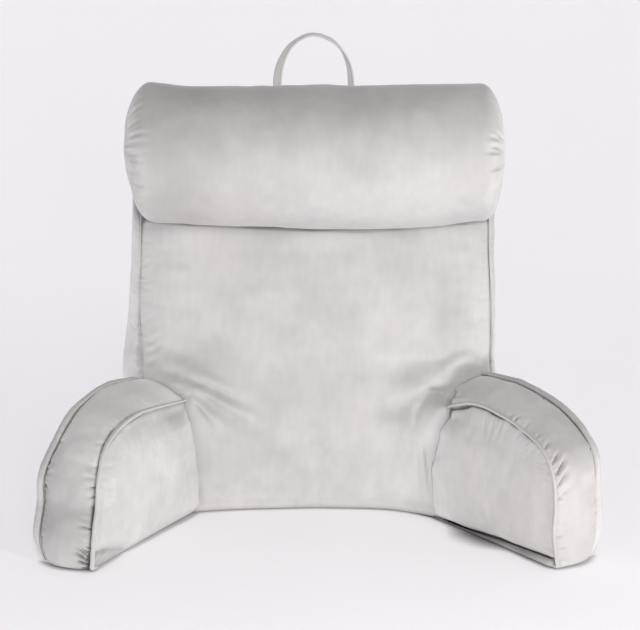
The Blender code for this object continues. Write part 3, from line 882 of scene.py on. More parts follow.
@dataclass
class BackCover(Cover):
    """The back: a flat base, upright panels that crown between their seams, and a crowned top."""

    # height, left front seam x, right front seam x, front seam y, rear seam y, left bulge, right bulge
    rows: tuple = (
        (0.000, -0.215, 0.222, 0.012, 0.134, 0.012, 0.008),
        (0.060, -0.221, 0.229, 0.014, 0.143, 0.025, 0.012),
        (0.125, -0.223, 0.231, 0.017, 0.147, 0.032, 0.014),
        (0.185, -0.225, 0.234, 0.020, 0.147, 0.034, 0.010),
        (0.260, -0.230, 0.2345, 0.024, 0.144, 0.020, 0.0095),
        (0.339, -0.227, 0.2305, 0.028, 0.138, 0.018, 0.0110),
        (0.430, -0.224, 0.2275, 0.032, 0.130, 0.017, 0.0130),
        (0.490, -0.221, 0.223, 0.036, 0.123, 0.013, 0.012),
        (0.512, -0.214, 0.216, 0.042, 0.116, 0.007, 0.007),
    )
    front_crown: float = 0.030
    rear_crown: float = 0.028
    crown_power: float = 2.3
    crown_at_floor: float = 0.40
    crown_at_top: float = 0.65
    floor_fade: tuple[float, float] = (0.0, 0.14)
    top_fade: tuple[float, float] = (0.39, 0.52)
    top_crown: float = 0.024
    top_taper: float = 0.55
    gusset_power: float = 0.8
    # side, reach of the arm's pull on the foot, how late it starts across the panel, x where it is full,
    # and the heights over which it fades
    foot_pulls: tuple = ((-1, 0.026, 2.0, 0.166, 0.13, 0.245), (1, 0.060, 3.4, 0.169, 0.148, 0.205))
    folds: tuple[Fold, ...] = (
        Fold(((-0.205, 0.188), (-0.105, 0.128)), 0.017, 0.0030, spread=1.0),
        Fold(((-0.205, 0.235), (-0.120, 0.176)), 0.017, -0.0025, spread=1.0),
        Fold(((0.205, 0.196), (0.125, 0.150)), 0.018, 0.0030, spread=1.0),
        Fold(((0.142, 0.130), (0.130, 0.050)), 0.014, 0.0030, spread=1.0),
        Fold(((0.105, 0.150), (0.112, 0.070)), 0.016, -0.0025, spread=1.0),
        Fold(
            ((-0.215, 0.192), (-0.157, 0.178), (-0.109, 0.155), (-0.050, 0.134)),
            0.0070, -0.0036, mark=0.22,
        ),
        Fold(((-0.190, 0.186), (-0.149, 0.182), (-0.116, 0.169), (-0.075, 0.152)), 0.0060, 0.0026),
        Fold(((-0.175, 0.178), (-0.131, 0.158), (-0.104, 0.142), (-0.060, 0.120)), 0.0056, 0.0036),
        Fold(
            ((-0.168, 0.168), (-0.140, 0.152), (-0.118, 0.136), (-0.090, 0.116), (-0.056, 0.098)),
            0.0068, -0.0042, mark=0.24,
        ),
        Fold(((-0.165, 0.163), (-0.143, 0.141), (-0.120, 0.112)), 0.0046, 0.0032),
        Fold(((-0.160, 0.155), (-0.143, 0.130), (-0.124, 0.098)), 0.0042, -0.0030, mark=0.22),
        Fold(((-0.150, 0.036), (-0.136, 0.008)), 0.0040, 0.0016),
        Fold(((-0.226, 0.204), (-0.190, 0.228)), 0.0032, -0.0013, mark=0.12),
        Fold(((-0.226, 0.216), (-0.186, 0.243)), 0.0034, -0.0014, mark=0.14),
        Fold(((-0.225, 0.192), (-0.198, 0.208)), 0.0030, -0.0012, mark=0.12),
        Fold(((-0.222, 0.232), (-0.192, 0.253)), 0.0032, -0.0010, mark=0.10),
        Fold(
            ((0.212, 0.200), (0.189, 0.184), (0.157, 0.168), (0.125, 0.151), (0.098, 0.134), (0.058, 0.110)),
            0.0100, -0.0068, mark=0.30,
        ),
        Fold(((0.205, 0.214), (0.160, 0.198), (0.110, 0.172)), 0.014, 0.0024),
        Fold(
            ((0.200, 0.180), (0.170, 0.158), (0.154, 0.138), (0.147, 0.112), (0.144, 0.080)),
            0.0066, 0.0040, spread=1.0,
        ),
        Fold(
            ((0.140, 0.112), (0.1437, 0.0906), (0.1465, 0.063), (0.1485, 0.037), (0.153, 0.014)),
            0.0028, -0.0036, spread=1.1, mark=0.45,
        ),
        Fold(((0.134, 0.100), (0.138, 0.059), (0.141, 0.024)), 0.0036, -0.0022, spread=1.0, mark=0.25),
        Fold(
            ((0.225, 0.196), (0.200, 0.204), (0.176, 0.198), (0.160, 0.180)),
            0.0070, 0.0034, (0.15, 0.35), spread=0.9,
        ),
        Fold(((0.126, 0.162), (0.128, 0.112)), 0.0024, 0.0012, spread=1.0),
        Fold(((0.132, 0.154), (0.129, 0.110)), 0.0026, -0.0013, spread=1.0),
    )
    # side, and heights and x of the line where the arm's inner face meets the panel: the folds die out at it
    arm_lines: tuple = (
        (
            1,
            (0.0, 0.015, 0.022, 0.034, 0.057, 0.082, 0.107, 0.135, 0.152),
            (0.172, 0.164, 0.159, 0.1545, 0.1515, 0.153, 0.157, 0.163, 0.171),
        ),
        (-1, (0.0, 0.030, 0.070, 0.110, 0.150), (0.172, 0.166, 0.160, 0.158, 0.164)),
    )
    waves: tuple = ((0.0011, 0.055), (0.0005, 0.021))  # height and length of its unevenness
    mottling: tuple = ((0.028, 0.024), (0.018, 0.009))  # strength and size of the blotches in its pile
    # how deep and wide the seams sink into the gussets and into the panels
    sunk: tuple = ((0.0024, 0.0024), (0.0008, 0.0022))
    # spacing, reach, half width and depth of the gathers on the gussets, on the panels and round the top
    gusset_gathers: tuple = ((0.007, 0.018), (0.014, 0.040), (0.0016, 0.0036), (0.0003, 0.0012))
    panel_gathers: tuple = ((0.012, 0.030), (0.012, 0.030), (0.0018, 0.0034), (0.0002, 0.0008))
    top_gathers: tuple = ((0.010, 0.024), (0.010, 0.024), (0.0018, 0.0034), (0.0003, 0.0010))
    gathered_to: float = 0.51  # the height up to which they are
    spacing: float = 0.0026
    welt_outset: float = 0.0007
    welt_radius: float = 0.0014
    welt_foot: float = 0.195
    welt_thin: float = 0.32  # the welt's thickness up the left side, as a share
    # painted shade on the left and on the right gusset: how much darker, below 0 painted light
    gusset_nap: tuple[float, float] = (-0.10, 0.16)
    # height on the left seam, reach, half width and depth of small puckers
    puckers: tuple = (
        (0.283, 0.010, 0.0013, 0.0012),
        (0.289, 0.012, 0.0012, 0.0016),
        (0.2945, 0.009, 0.0012, 0.0013),
        (0.301, 0.013, 0.0014, 0.0015),
        (0.308, 0.008, 0.0012, 0.0010),
        (0.246, 0.010, 0.0014, 0.0010),
        (0.232, 0.012, 0.0016, 0.0012),
    )
    # x and height on the panel of the edge that the roll covers, where the painted shadow under the roll is
    # darkest
    roll_edge: tuple = (
        (-0.24, 0.3835),
        (-0.18, 0.3795),
        (-0.138, 0.3780),
        (-0.066, 0.3755),
        (0.06, 0.3715),
        (0.144, 0.375),
        (0.24, 0.382),
    )
    # painted light all over the front panel, below 0 being lighter
    panel_nap: float = -0.03
    brushed: tuple = (  # place, size, and how much painted shade darkens the panel there, below 0 painted light
        ((-0.050, 0.350), (0.110, 0.040), -0.02),
        ((0.125, 0.335), (0.060, 0.045), 0.09),
        ((0.000, 0.020), (0.150, 0.035), -0.05),
        ((-0.170, 0.220), (0.070, 0.200), -0.03),
        ((0.130, 0.060), (0.060, 0.070), -0.16),
        ((0.040, 0.215), (0.100, 0.050), -0.09),
        ((-0.190, 0.330), (0.060, 0.080), -0.06),
        ((0.195, 0.214), (0.062, 0.034), -0.15),
        ((0.110, 0.192), (0.040, 0.026), -0.15),
        ((0.150, 0.112), (0.018, 0.030), -0.14),
        ((0.167, 0.181), (0.028, 0.018), -0.42),
        ((0.230, 0.260), (0.030, 0.060), -0.10),
        ((0.105, 0.132), (0.032, 0.014), 0.12),
        ((-0.130, 0.152), (0.030, 0.018), 0.09),
        ((-0.195, 0.205), (0.035, 0.025), -0.08),
    )

    def row_at(self, z: Array) -> Array:
        """The table read at any heights."""
        heights = [row[0] for row in self.rows]
        return curve_through(self.rows, np.interp(z, heights, range(len(heights))))

    def crown_share(self, z: Array) -> Array:
        """How much of its crown an upright panel has at a height."""
        low = self.crown_at_floor + (1 - self.crown_at_floor) * fade(z, *self.floor_fade)
        return low * (1 - (1 - self.crown_at_top) * fade(z, *self.top_fade))

    def fold_rise(self, x: Array, z: Array) -> Array:
        """How far the soft folds lift the front panel."""
        lifted = sum(fold.lift(x, z) for fold in self.folds)
        for side, heights, places in self.arm_lines:
            inside = np.interp(z, heights, places) - x * side
            lifted = lifted * np.where(z < heights[-1] + 0.01, fade(inside, -0.002, 0.006), 1.0)
        return lifted

    def front_y(self, x: Array, z: Array, row: Array) -> Array:
        """Depth of the front panel: the seam, less its crown, its folds and the pull of the arms."""
        left, right, seam_y = row[..., 1], row[..., 2], row[..., 3]
        middle, half = (left + right) / 2, (right - left) / 2
        share = np.clip(np.abs(x - middle) / half, 0, 1)
        y = seam_y - self.front_crown * self.crown_share(z) * (1 - share**self.crown_power)
        for side, reach, power, full, low, high in self.foot_pulls:
            pull = reach * np.clip(x * side / full, 0, 1) ** power * (1 - fade(z, low, high))
            y = y - pull
        return y - self.fold_rise(x, z)

    def levels(self, z: Array) -> Array:
        """The loops of the back at these heights: front panel, right gusset, rear panel, left gusset."""
        row = self.row_at(z)[:, None, :]
        z = np.asarray(z)[:, None]
        left, right, rear_y = row[..., 1], row[..., 2], row[..., 4]
        width = float(np.ptp(row[..., 1:3]))
        front_t = np.linspace(0, 1, int(width / self.spacing))[:-1]
        front_x = left + (right - left) * front_t
        front = np.stack([front_x, self.front_y(front_x, z, row), z + 0 * front_x], axis=-1)
        side_t = np.linspace(0, 1, 44)[:-1]
        swell = np.sin(math.pi * side_t) ** self.gusset_power
        right_front, left_front = self.front_y(right, z, row), self.front_y(left, z, row)

        def side(edge: Array, bulge: Array, start: Array, end: Array) -> Array:
            depth = start * (1 - side_t) + end * side_t
            return np.stack([edge + bulge * swell, depth, z + 0 * side_t], axis=-1)

        rear_t = np.linspace(0, 1, len(front_t) // 2)[:-1]
        crown = self.rear_crown * self.crown_share(z) * (1 - np.abs(2 * rear_t - 1) ** self.crown_power)
        rear = np.stack([right + (left - right) * rear_t, rear_y + crown, z + 0 * rear_t], axis=-1)
        right_side = side(right, row[..., 6], right_front, rear_y)
        left_side = side(left, -row[..., 5], rear_y, left_front)
        self.front_count, self.side_count, self.rear_count = len(front_t), len(side_t), len(rear_t)
        return np.concatenate([front, right_side, rear, left_side], axis=1)

    def seam_columns(self) -> tuple[int, int, int, int]:
        """The columns of the front left, front right, rear right and rear left seams."""
        second = self.front_count
        third = second + self.side_count
        return 0, second, third, third + self.rear_count

    def skin(self) -> Skin:
        """The whole cover before it is filled: base, sides and top."""
        top_z = self.rows[-1][0]
        z = np.linspace(FLOOR, top_z, int(top_z / self.spacing) + 1)
        sides = self.levels(z)

        def drawn_in(edge: Array, share: float, height: float) -> Array:
            middle = edge.mean(axis=0)
            loop = middle + (edge - middle) * np.array([1 - (1 - share) * self.top_taper, share, 0])
            loop[:, 2] = height
            return loop

        base = [drawn_in(sides[0], t, FLOOR) for t in np.linspace(0.04, 0.90, 12)]
        crown = [
            drawn_in(sides[-1], t, top_z + self.top_crown * (1 - t**2)) for t in np.linspace(1, 0.03, 26)[1:]
        ]
        self.base_rings, self.side_rings = len(base), len(sides)
        return Skin(np.concatenate([base, sides, crown]))

    def seam_points(self, skin: Skin) -> Array:
        """Points along all the seams, which hold the cloth while it is filled."""
        upright = skin.loops[self.base_rings :, list(self.seam_columns())].reshape(-1, 3)
        foot = skin.loops[self.base_rings].reshape(-1, 3)
        top = skin.loops[self.base_rings + self.side_rings - 1].reshape(-1, 3)
        return np.vstack([upright, foot[::2], top[::2]])

    def free(self, skin: Skin) -> Array:
        """The share of the filling's movement that each point keeps: less by the arms, foot and sides."""
        x, y, z = np.moveaxis(skin.loops, -1, 0)
        share = fade(z, 0.002, 0.030)
        for side, heights, places in self.arm_lines:
            inside = np.interp(z, heights, places) - x * side
            share = share * np.where((z < heights[-1] + 0.02) & (y < 0.05), fade(inside, 0.006, 0.040), 1.0)
        row = self.row_at(z.ravel())
        middle, half = (row[:, 1] + row[:, 2]) / 2, (row[:, 2] - row[:, 1]) / 2
        across = (np.abs(x.ravel() - middle) / half).reshape(x.shape)
        return share * (1 - 0.6 * fade(across, 0.90, 1.0))

    def dress(self, skin: Skin) -> None:
        """Sinks the seams, gathers the cloth along them, gives it its soft unevenness and paints shade and
        light on it.

        Args:
            skin: the filled cover, which is changed.
        """
        noise = SoftNoise(11)
        points = skin.loops
        rows, count = points.shape[:2]
        heights = points[:, 0, 2][:, None] + np.zeros((1, count))
        upright = np.zeros((rows, 1))
        upright[self.base_rings : self.base_rings + self.side_rings] = 1.0
        push = noise.summed(points, self.waves)
        crease, nap = np.zeros((rows, count)), np.zeros((rows, count))
        step = np.linalg.norm(np.diff(points, axis=1, append=points[:, :1]), axis=2)
        travelled = np.cumsum(step, axis=1) - step
        total = step.sum(axis=1, keepdims=True)
        for number, column in enumerate(self.seam_columns()):
            ahead = np.mod(travelled - travelled[:, column : column + 1], total)
            behind = total - ahead
            # A panel starts at the first and the third seam, and a gusset at the others.
            face, gusset = (ahead, behind) if number in (0, 2) else (behind, ahead)
            (depth, width), (shallow_depth, shallow_width) = self.sunk
            deep = depth * np.exp(-gusset / width)
            shallow = shallow_depth * np.exp(-face / shallow_width) * (1 if number < 2 else 1.6)
            push -= upright * np.where(gusset < face, deep, shallow)
            # Painted shade along the seam's groove, broken along its length.
            broken = 0.55 + 0.45 * SoftNoise(17 + number).line(heights, 0.017)
            wide, strong, over = ((0.0042, 1.0, 0.80), (0.0013, 1.0, 0.2))[number > 0]
            dark = np.where(gusset < face, strong * np.exp(-gusset / wide), over * np.exp(-face / 0.001))
            crease += upright * broken * dark
            # Painted shade and light on the gussets beside the seams.
            side_shade = upright * (gusset < face) * fade(gusset, 0.0, 0.003)
            side_shade = side_shade * self.gusset_nap[number in (1, 2)]
            nap = np.where(np.abs(side_shade) > np.abs(nap), side_shade, nap)
            if number > 1:
                push += upright * 0.0011 * (bump(gusset, 0.005, 0.003) + bump(face, 0.005, 0.003))
            strength = 1.0 if number < 2 else 0.8
            for seed, sizes, away in ((20, self.gusset_gathers, gusset), (30, self.panel_gathers, face)):
                pinches = Gathers(seed + number, *sizes).pinches(0.0, self.gathered_to)
                push -= strength * upright * pressed_by(pinches, heights, away)
            if number == 0:
                for away in (face, gusset):
                    pressed = upright * pressed_by([Pinch(*sizes) for sizes in self.puckers], heights, away)
                    push -= pressed
                    # Painted shade in the puckers.
                    crease += np.clip(pressed / 0.004, 0, 0.4)
        foot = np.where(upright > 0, heights, 1.0)
        push -= 0.0035 * np.clip(1 - foot / 0.007, 0, 1) ** 2
        push += 0.0008 * bump(foot, 0.010, 0.005)
        # Painted contact shade along the foot.
        crease += np.clip(1 - foot / 0.003, 0, 1) * 0.3
        top_seam = self.base_rings + self.side_rings - 1
        below = np.where(upright > 0, self.rows[-1][0] - heights, 1.0)
        above = np.ones((rows, count))
        rises = np.linalg.norm(np.diff(points[top_seam:], axis=0), axis=2)
        above[top_seam:] = np.cumsum(np.vstack([np.zeros((1, count)), rises]), axis=0)
        from_top = np.minimum(below, above)
        push -= 0.0024 * np.exp(-from_top / 0.0028)
        # Painted shade along the top seam.
        crease += 0.7 * np.exp(-from_top / 0.0014)
        pinches = Gathers(41, *self.top_gathers).pinches(0.0, float(total[top_seam, 0]))
        push -= pressed_by(pinches, travelled, from_top) * (from_top < 0.03)
        push[: self.base_rings] = 0.0
        crease[: self.base_rings] = 0.0
        # Painted shade along the marked folds.
        before = upright * (points[..., 1] < 0.05)
        for fold in self.folds:
            if fold.mark:
                lift = fold.lift(points[..., 0], points[..., 2])
                crease += before * fold.mark * np.clip(lift / fold.rise, 0, 1)
        skin.push(push)
        skin.loops[..., 2] = np.maximum(skin.loops[..., 2], UNDERSIDE)
        skin.loops[: self.base_rings + 1, :, 2] = UNDERSIDE
        # Painted shadow under the roll: darkest at the edge that the roll covers, fading fast below it and
        # slowly above it, uneven along it.
        pressed = 0.75 + 0.45 * SoftNoise(19).line(points[..., 0], 0.05)
        under = read(self.roll_edge, points[..., 0]) - heights
        first, last = self.seam_columns()[:2]
        pressed[:, :first] = pressed[:, last + 1 :] = 0.0
        crease += upright * pressed * np.where(under > 0, np.exp(-under / 0.0022), np.exp(under / 0.0110))
        corner = self.rows[-1][1] - 0.004 - points[..., 0]  # painted shadow beyond the left seam, under the end of the roll
        behind = (1 - fade(points[..., 1], 0.030, 0.085)) * fade(corner, 0.0, 0.006)
        crease += upright * behind * (0.95 * bump(heights, 0.404, 0.021) + 0.25 * bump(heights, 0.376, 0.024))
        skin.mark(crease)
        # Painted shade and light on the front panel, and mottling all over.
        front = points[..., 1] < 0.06
        mottled = noise.summed(points, self.mottling)
        skin.nap = nap + (front * upright) * self.front_nap(points[..., 0], points[..., 2]) + mottled

    def front_nap(self, x: Array, z: Array) -> Array:
        """Painted shade on the front panel, below 0 where it is painted lighter."""
        return with_painted_patches(self.brushed, x, z, self.panel_nap + 0 * x)

    def welt_line(self) -> Array:
        """The line of the welt up the left of the front panel, over its top and down its right."""
        z = np.linspace(self.welt_foot, self.rows[-1][0], 120)
        loops = self.levels(z)
        corners = self.seam_columns()
        lean = np.array([self.welt_outset, -self.welt_outset, 0.0]) * math.sqrt(0.5)
        wobble = 0.0007 * SoftNoise(5).line(z, 0.022)[:, None] * np.array([1.0, 0.0, 0.0])
        left = loops[:, corners[0]] + lean * (-1, 1, 1) + wobble
        right = loops[:, corners[1]] + lean + wobble[::-1]
        above = np.array([0.0, 0.0, self.welt_outset]) * math.sqrt(0.5)
        left[-1], right[-1] = left[-1] + above, right[-1] + above
        over = loops[-1, corners[0] + 1 : corners[1]] + above - (0.0, above[2], 0.0)
        line = np.vstack([left, over, right[::-1]])
        return along_length(line, 500)

    def piping(self) -> Piping:
        """The welt, which lies deeper in its seam up the left side."""
        line = self.welt_line()
        thickness = 1 - (1 - self.welt_thin) * (1 - fade(line[:, 0], -0.21, -0.15))
        return Piping("piping_back", "welt_back", line, self.welt_radius, seed=3.0, thickness=thickness)

    def settle(self, skin: Skin) -> None:
        """Keeps the surface that the arms, the roll and the loop lie against."""
        self.surface = skin.tree()

    def details(self) -> tuple[str, str, float]:
        """The names of the piece and its CAD node, and how full it is."""
        return "back_cover", "back_cushion", 0.8


# ---- The arms ----


class Cloth(Enum):
    """The cloths of an arm."""

    INNER = "inner face"
    BOXING = "boxing"
    OUTER = "outer face"


class Lies(Enum):
    """Which cloth a welt lies against. A deep groove parts it from the other one."""

    ON_FACE = "face"
    ON_BOXING = "boxing"


@dataclass(frozen=True)
class ArmSeam:
    """How an arm's seam is sunk and where its welt lies."""

    lies: Lies
    lean: float  # how far the welt leans off the boxing's plane, away from the sitter
    outset: float = 0.0024
    groove: float = 0.0036
    soft_groove: float = 0.25  # the groove's share on the cloth that the welt lies against
    shoulder: float = 0.0020
    radius: float = 0.0027
    drawn: tuple = ((0.0, 1.0), (1.0, 1.0))  # share of its length from the back, how hard it is drawn there
    foot_taper: float = 1.0  # the welt's thickness at the floor, as a share
    least: float = 0.55  # its thickness where it isn't drawn, as a share


@dataclass
class ArmCover(Cover):
    """An arm: an inner and an outer face that crown about their hearts, with boxing between them."""

    word: str
    side: float
    crease: tuple[float, float]
    splay: float
    width: float
    inner_crown: float
    rows: tuple  # along the inner seam, its height, along the outer seam, its height
    inner: ArmSeam
    outer: ArmSeam
    seed: int
    # seam, cloth, and rows of distance back from the front foot, reach, half width, depth, slant and start
    pinches: tuple = ()
    foot_lift: float = 0.0  # how far the lower seam of the inner face rises off the floor at the front
    foot_mark: float = 0.2  # how dark the painted contact shade on the boxing's edge is at the floor
    # where the face's tucked corner starts, its height and how dark its painted shade is
    foot_patch: tuple[float, float, float] = (0.16, 0.0, 0.0)
    bow: tuple = ((0.0, 0.0), (0.2, 0.0))  # height, how far the inner face swells out beside the back
    bow_reach: float = 0.16
    roll_in: tuple[float, float] = (0.0030, 0.0060)  # how deep and wide the inner face rolls into the back
    # how far the outer side draws in at the foot, and from what height
    foot_round: tuple[float, float] = (0.011, 0.040)
    foot_tucks: tuple[float, float] = (0.0035, 0.0035)  # how far the inner and outer faces tuck under
    root_reach_end: float = 0.055  # how far from the back the cloth gives way to it
    root_mark: tuple[float, float] = (0.5, 0.006)  # how dark the painted shade line beside the back is, and how wide
    # share of its length from the back, and how much painted shade darkens the boxing there, below 0 painted
    # light
    boxing_nap: tuple = ((0.0, 0.10), (1.0, 0.10))
    # painted shade on the inner face: all over, under its top seam, beside the back
    face_nap: tuple[float, float, float] = (0.0, 0.0, 0.0)
    lip_nap: float = 0.0  # painted shade on the outer face, near its seam, below 0 painted light
    corner_mark: float = 0.0  # how dark the painted shade in the gathers at the inner seam's foot is
    face_gather: float = 0.4  # how strongly the seams gather the faces
    # spacing, reach, half width and depth of the gathers on the faces and on the boxing
    face_gathers: tuple = ((0.008, 0.020), (0.012, 0.034), (0.0018, 0.0036), (0.0002, 0.0010))
    boxing_gathers: tuple = ((0.012, 0.030), (0.008, 0.020), (0.0014, 0.0026), (0.0004, 0.0014))
    waves: tuple = ((0.0014, 0.045), (0.0006, 0.018))  # height and length of its unevenness
    mottling: tuple = ((0.030, 0.022), (0.020, 0.008))  # strength and size of the blotches in its pile
    heart: tuple[float, float] = (0.095, 0.078)
    outer_crown: float = 0.017
    lip_rise: float = 0.0050
    lip_reach: float = 0.0065
    boxing_crown: float = 0.010
    face_power: float = 2.4
    seam_count: int = 190
    root_count: int = 80
    ground_count: int = 110
    back: BackCover | None = None  # the back cushion, which it presses on, built already
    frame_parts: tuple = field(init=False)

    def __post_init__(self) -> None:
        """Works out the arm's own directions, and the column after its seam."""
        self.seam_end = self.root_count + self.seam_count
        splay = math.radians(self.splay)
        along = np.array([self.side * math.sin(splay), -math.cos(splay), 0.0])
        away = np.array([self.side * math.cos(splay), math.sin(splay), 0.0])
        self.frame_parts = (np.array([*self.crease, FLOOR]), along, away)

    def root_reach(self, height: float, offset: float) -> float:
        """Where a line back along the arm meets the back cushion."""
        origin, along, away = self.frame_parts
        ahead, nowhere = 0.10, -0.060  # where the line starts, and the answer if it meets nothing
        start = origin + along * ahead + away * offset + UP * max(height, 0.0015)
        hit = self.back.surface.ray_cast(Vector(start), Vector(-along), 0.17)
        return nowhere if hit[0] is None else ahead - hit[3]

    def outline(self, columns: Sequence[int], start: float, seed: int) -> Array:
        """One face's outline, along and up: root, seam over the top and down the front, then the floor."""
        path = spread_through(self.rows, 500)[:, list(columns)]
        keep = path[:, 0] > start
        keep[: int(np.argmax(keep))] = False
        first = int(np.argmax(keep))
        share = (start - path[first - 1, 0]) / (path[first, 0] - path[first - 1, 0]) if first else 0.0
        head = path[first - 1] + (path[first] - path[first - 1]) * share if first else path[0]
        seam = along_length(np.vstack([head, path[first:]]), self.seam_count)
        seam[-1, 1] = FLOOR
        travelled = lengths_along(seam)
        ahead = np.gradient(seam, axis=0)
        square = np.stack([-ahead[:, 1], ahead[:, 0]], axis=1) / np.linalg.norm(ahead, axis=1)[:, None]
        broad, fine = SoftNoise(seed).line(travelled, 0.026), SoftNoise(seed + 1).line(travelled, 0.009)
        wobble = broad * 0.0009 + fine * 0.0003
        seam += square * (wobble * fade(seam[:, 1], 0.0, 0.012))[:, None]
        root = np.linspace((seam[0, 0], FLOOR), seam[0], self.root_count + 1)[:-1]
        ground = np.linspace(seam[-1], root[0], self.ground_count + 1)[1:-1]
        return np.vstack([root, seam, ground])

    @staticmethod
    def outline_normals(outline: Array) -> Array:
        """Outward directions of an outline in its own plane, level where it lies on the floor."""
        ahead = np.roll(outline, -1, axis=0) - np.roll(outline, 1, axis=0)
        normals = np.stack([-ahead[:, 1], ahead[:, 0]], axis=1)
        normals /= np.linalg.norm(normals, axis=1)[:, None]
        normals[:, 1] = np.maximum(normals[:, 1], 0.0)
        return normals

    @staticmethod
    def steps(length: float, fine: float = 0.0007, coarse: float = 0.0030, growth: float = 1.22) -> Array:
        """Distances from a seam, close together beside it and further apart away from it."""
        made, step = [0.0], fine
        while made[-1] < length:
            made.append(made[-1] + step)
            step = min(step * growth, coarse)
        return np.array(made) * length / made[-1]

    def skin(self) -> Skin:
        """The cover before it is filled.

        Returns:
            The skin. The seams' places and each loop's distances are kept for dress().
        """
        starts = [self.root_reach(self.rows[1][1 + 2 * k] - 0.004, self.width * k) - 0.003 for k in (0, 1)]
        inner = self.outline((0, 1), starts[0], self.seed)
        outer = self.outline((2, 3), starts[1], self.seed + 40)
        normals = self.outline_normals((inner + outer) / 2)
        heart = np.array(self.heart)
        count = len(inner)
        radial = [np.linalg.norm(outline - heart, axis=1) for outline in (inner, outer)]
        typical = 0.112  # distance from a heart to its seam
        face_steps = self.steps(typical * 0.965)
        box_half = self.steps(self.width / 2)
        soft_inner, soft_outer = (blurred_along(outline, 500) for outline in (inner, outer))

        def ring(outline: Array, soft: Array, share: float) -> Array:
            rounding = 0.85 * float(fade(1 - share, 0.0, 0.6))
            return heart + (outline + (soft - outline) * rounding - heart) * share

        # each loop's outline, offset across the arm, distances from the inner and the outer seam, and cloth
        made, far = [], np.full(count, 1.0)
        for gap in face_steps[::-1]:
            share = 1 - gap / typical
            swell = np.full(count, -self.inner_crown * (1 - share**self.face_power))
            made.append((ring(inner, soft_inner, share), swell, (1 - share) * radial[0], far, Cloth.INNER))
        for gap in np.concatenate([box_half[1:], self.width - box_half[-2:0:-1]]):
            t = gap / self.width
            outline = inner + (outer - inner) * t + normals * self.boxing_crown * (4 * t * (1 - t)) ** 0.8
            gaps = np.full(count, gap)
            made.append((outline, gaps, gaps, self.width - gaps, Cloth.BOXING))
        for gap in face_steps:
            share = 1 - gap / typical
            away = (1 - share) * radial[1]
            lip = 1 - np.exp(-((away / 0.0022) ** 2))
            outline = ring(outer, soft_outer, share)
            outline = outline + normals * (self.lip_rise * bump(away, 0.0040, 0.0034) * lip)[:, None]
            reach = self.lip_reach * lip * np.exp(-((away / 0.020) ** 2))
            offset = self.width + self.outer_crown * (1 - share**self.face_power) + reach
            made.append((outline, offset, far, away, Cloth.OUTER))

        *measures, self.cloths = zip(*made)
        flat, offset, self.from_inner, self.from_outer = (np.array(rows) for rows in measures)
        self.normals = normals
        self.outlines = (inner, outer)
        self.travelled = np.stack([lengths_along(outline) for outline in (inner, outer)])
        across = np.clip(offset / self.width, 0, 1)
        self.root_start = starts[0] + (starts[1] - starts[0]) * across
        self.from_root = flat[..., 0] - self.root_start
        share = self.cloth(Cloth.INNER) + self.cloth(Cloth.BOXING) * (1 - across) ** 2
        offset = offset - share * self.swell_at(flat[..., 1], self.from_root)
        depth, reach = self.roll_in
        offset = offset + share * depth * np.exp(-((self.from_root / reach) ** 2))
        return Skin(self.placed(flat, offset))

    def cloth(self, which: Cloth) -> Array:
        """Which loops lie in one of the arm's cloths."""
        return np.array([cloth is which for cloth in self.cloths])[:, None]

    def swell_at(self, height: Array, from_root: Array) -> Array:
        """How far the inner face swells out at a height and a distance from the back."""
        return read(self.bow, height) * (1 - fade(from_root, 0.0, self.bow_reach))

    def placed(self, flat: Array, offset: Array) -> Array:
        """Places along and up the arm, and offsets across it, as points."""
        origin, along, away = self.frame_parts
        height = np.maximum(flat[..., 1], FLOOR)[..., None] * UP
        drawn, reach = self.foot_round
        across = np.clip(offset / self.width, 0, 1.2)
        offset = offset - drawn * np.clip(1 - flat[..., 1] / reach, 0, 1) ** 2 * across**2
        return origin + flat[..., :1] * along + offset[..., None] * away + height

    def seam_points(self, skin: Skin) -> Array:
        """Points along the seams, the root and the foot, which hold the cloth while it is filled."""
        lines = [
            self.placed(line, np.full(len(line), gap)) for line, gap in zip(self.outlines, (0.0, self.width))
        ]
        root, foot = slice(0, self.root_count), slice(self.seam_end, None)
        between = [np.linspace(lines[0][part], lines[1][part], 12).reshape(-1, 3) for part in (root, foot)]
        return np.vstack([*lines, *between])

    def free(self, skin: Skin) -> Array:
        """The share of the filling's movement that each point keeps: less beside the back and on top."""
        on_top = self.cloth(Cloth.BOXING) * np.clip(self.normals[:, 1], 0, 1)
        return fade(self.from_root, 0.006, 0.045) * (1 - 0.5 * on_top)

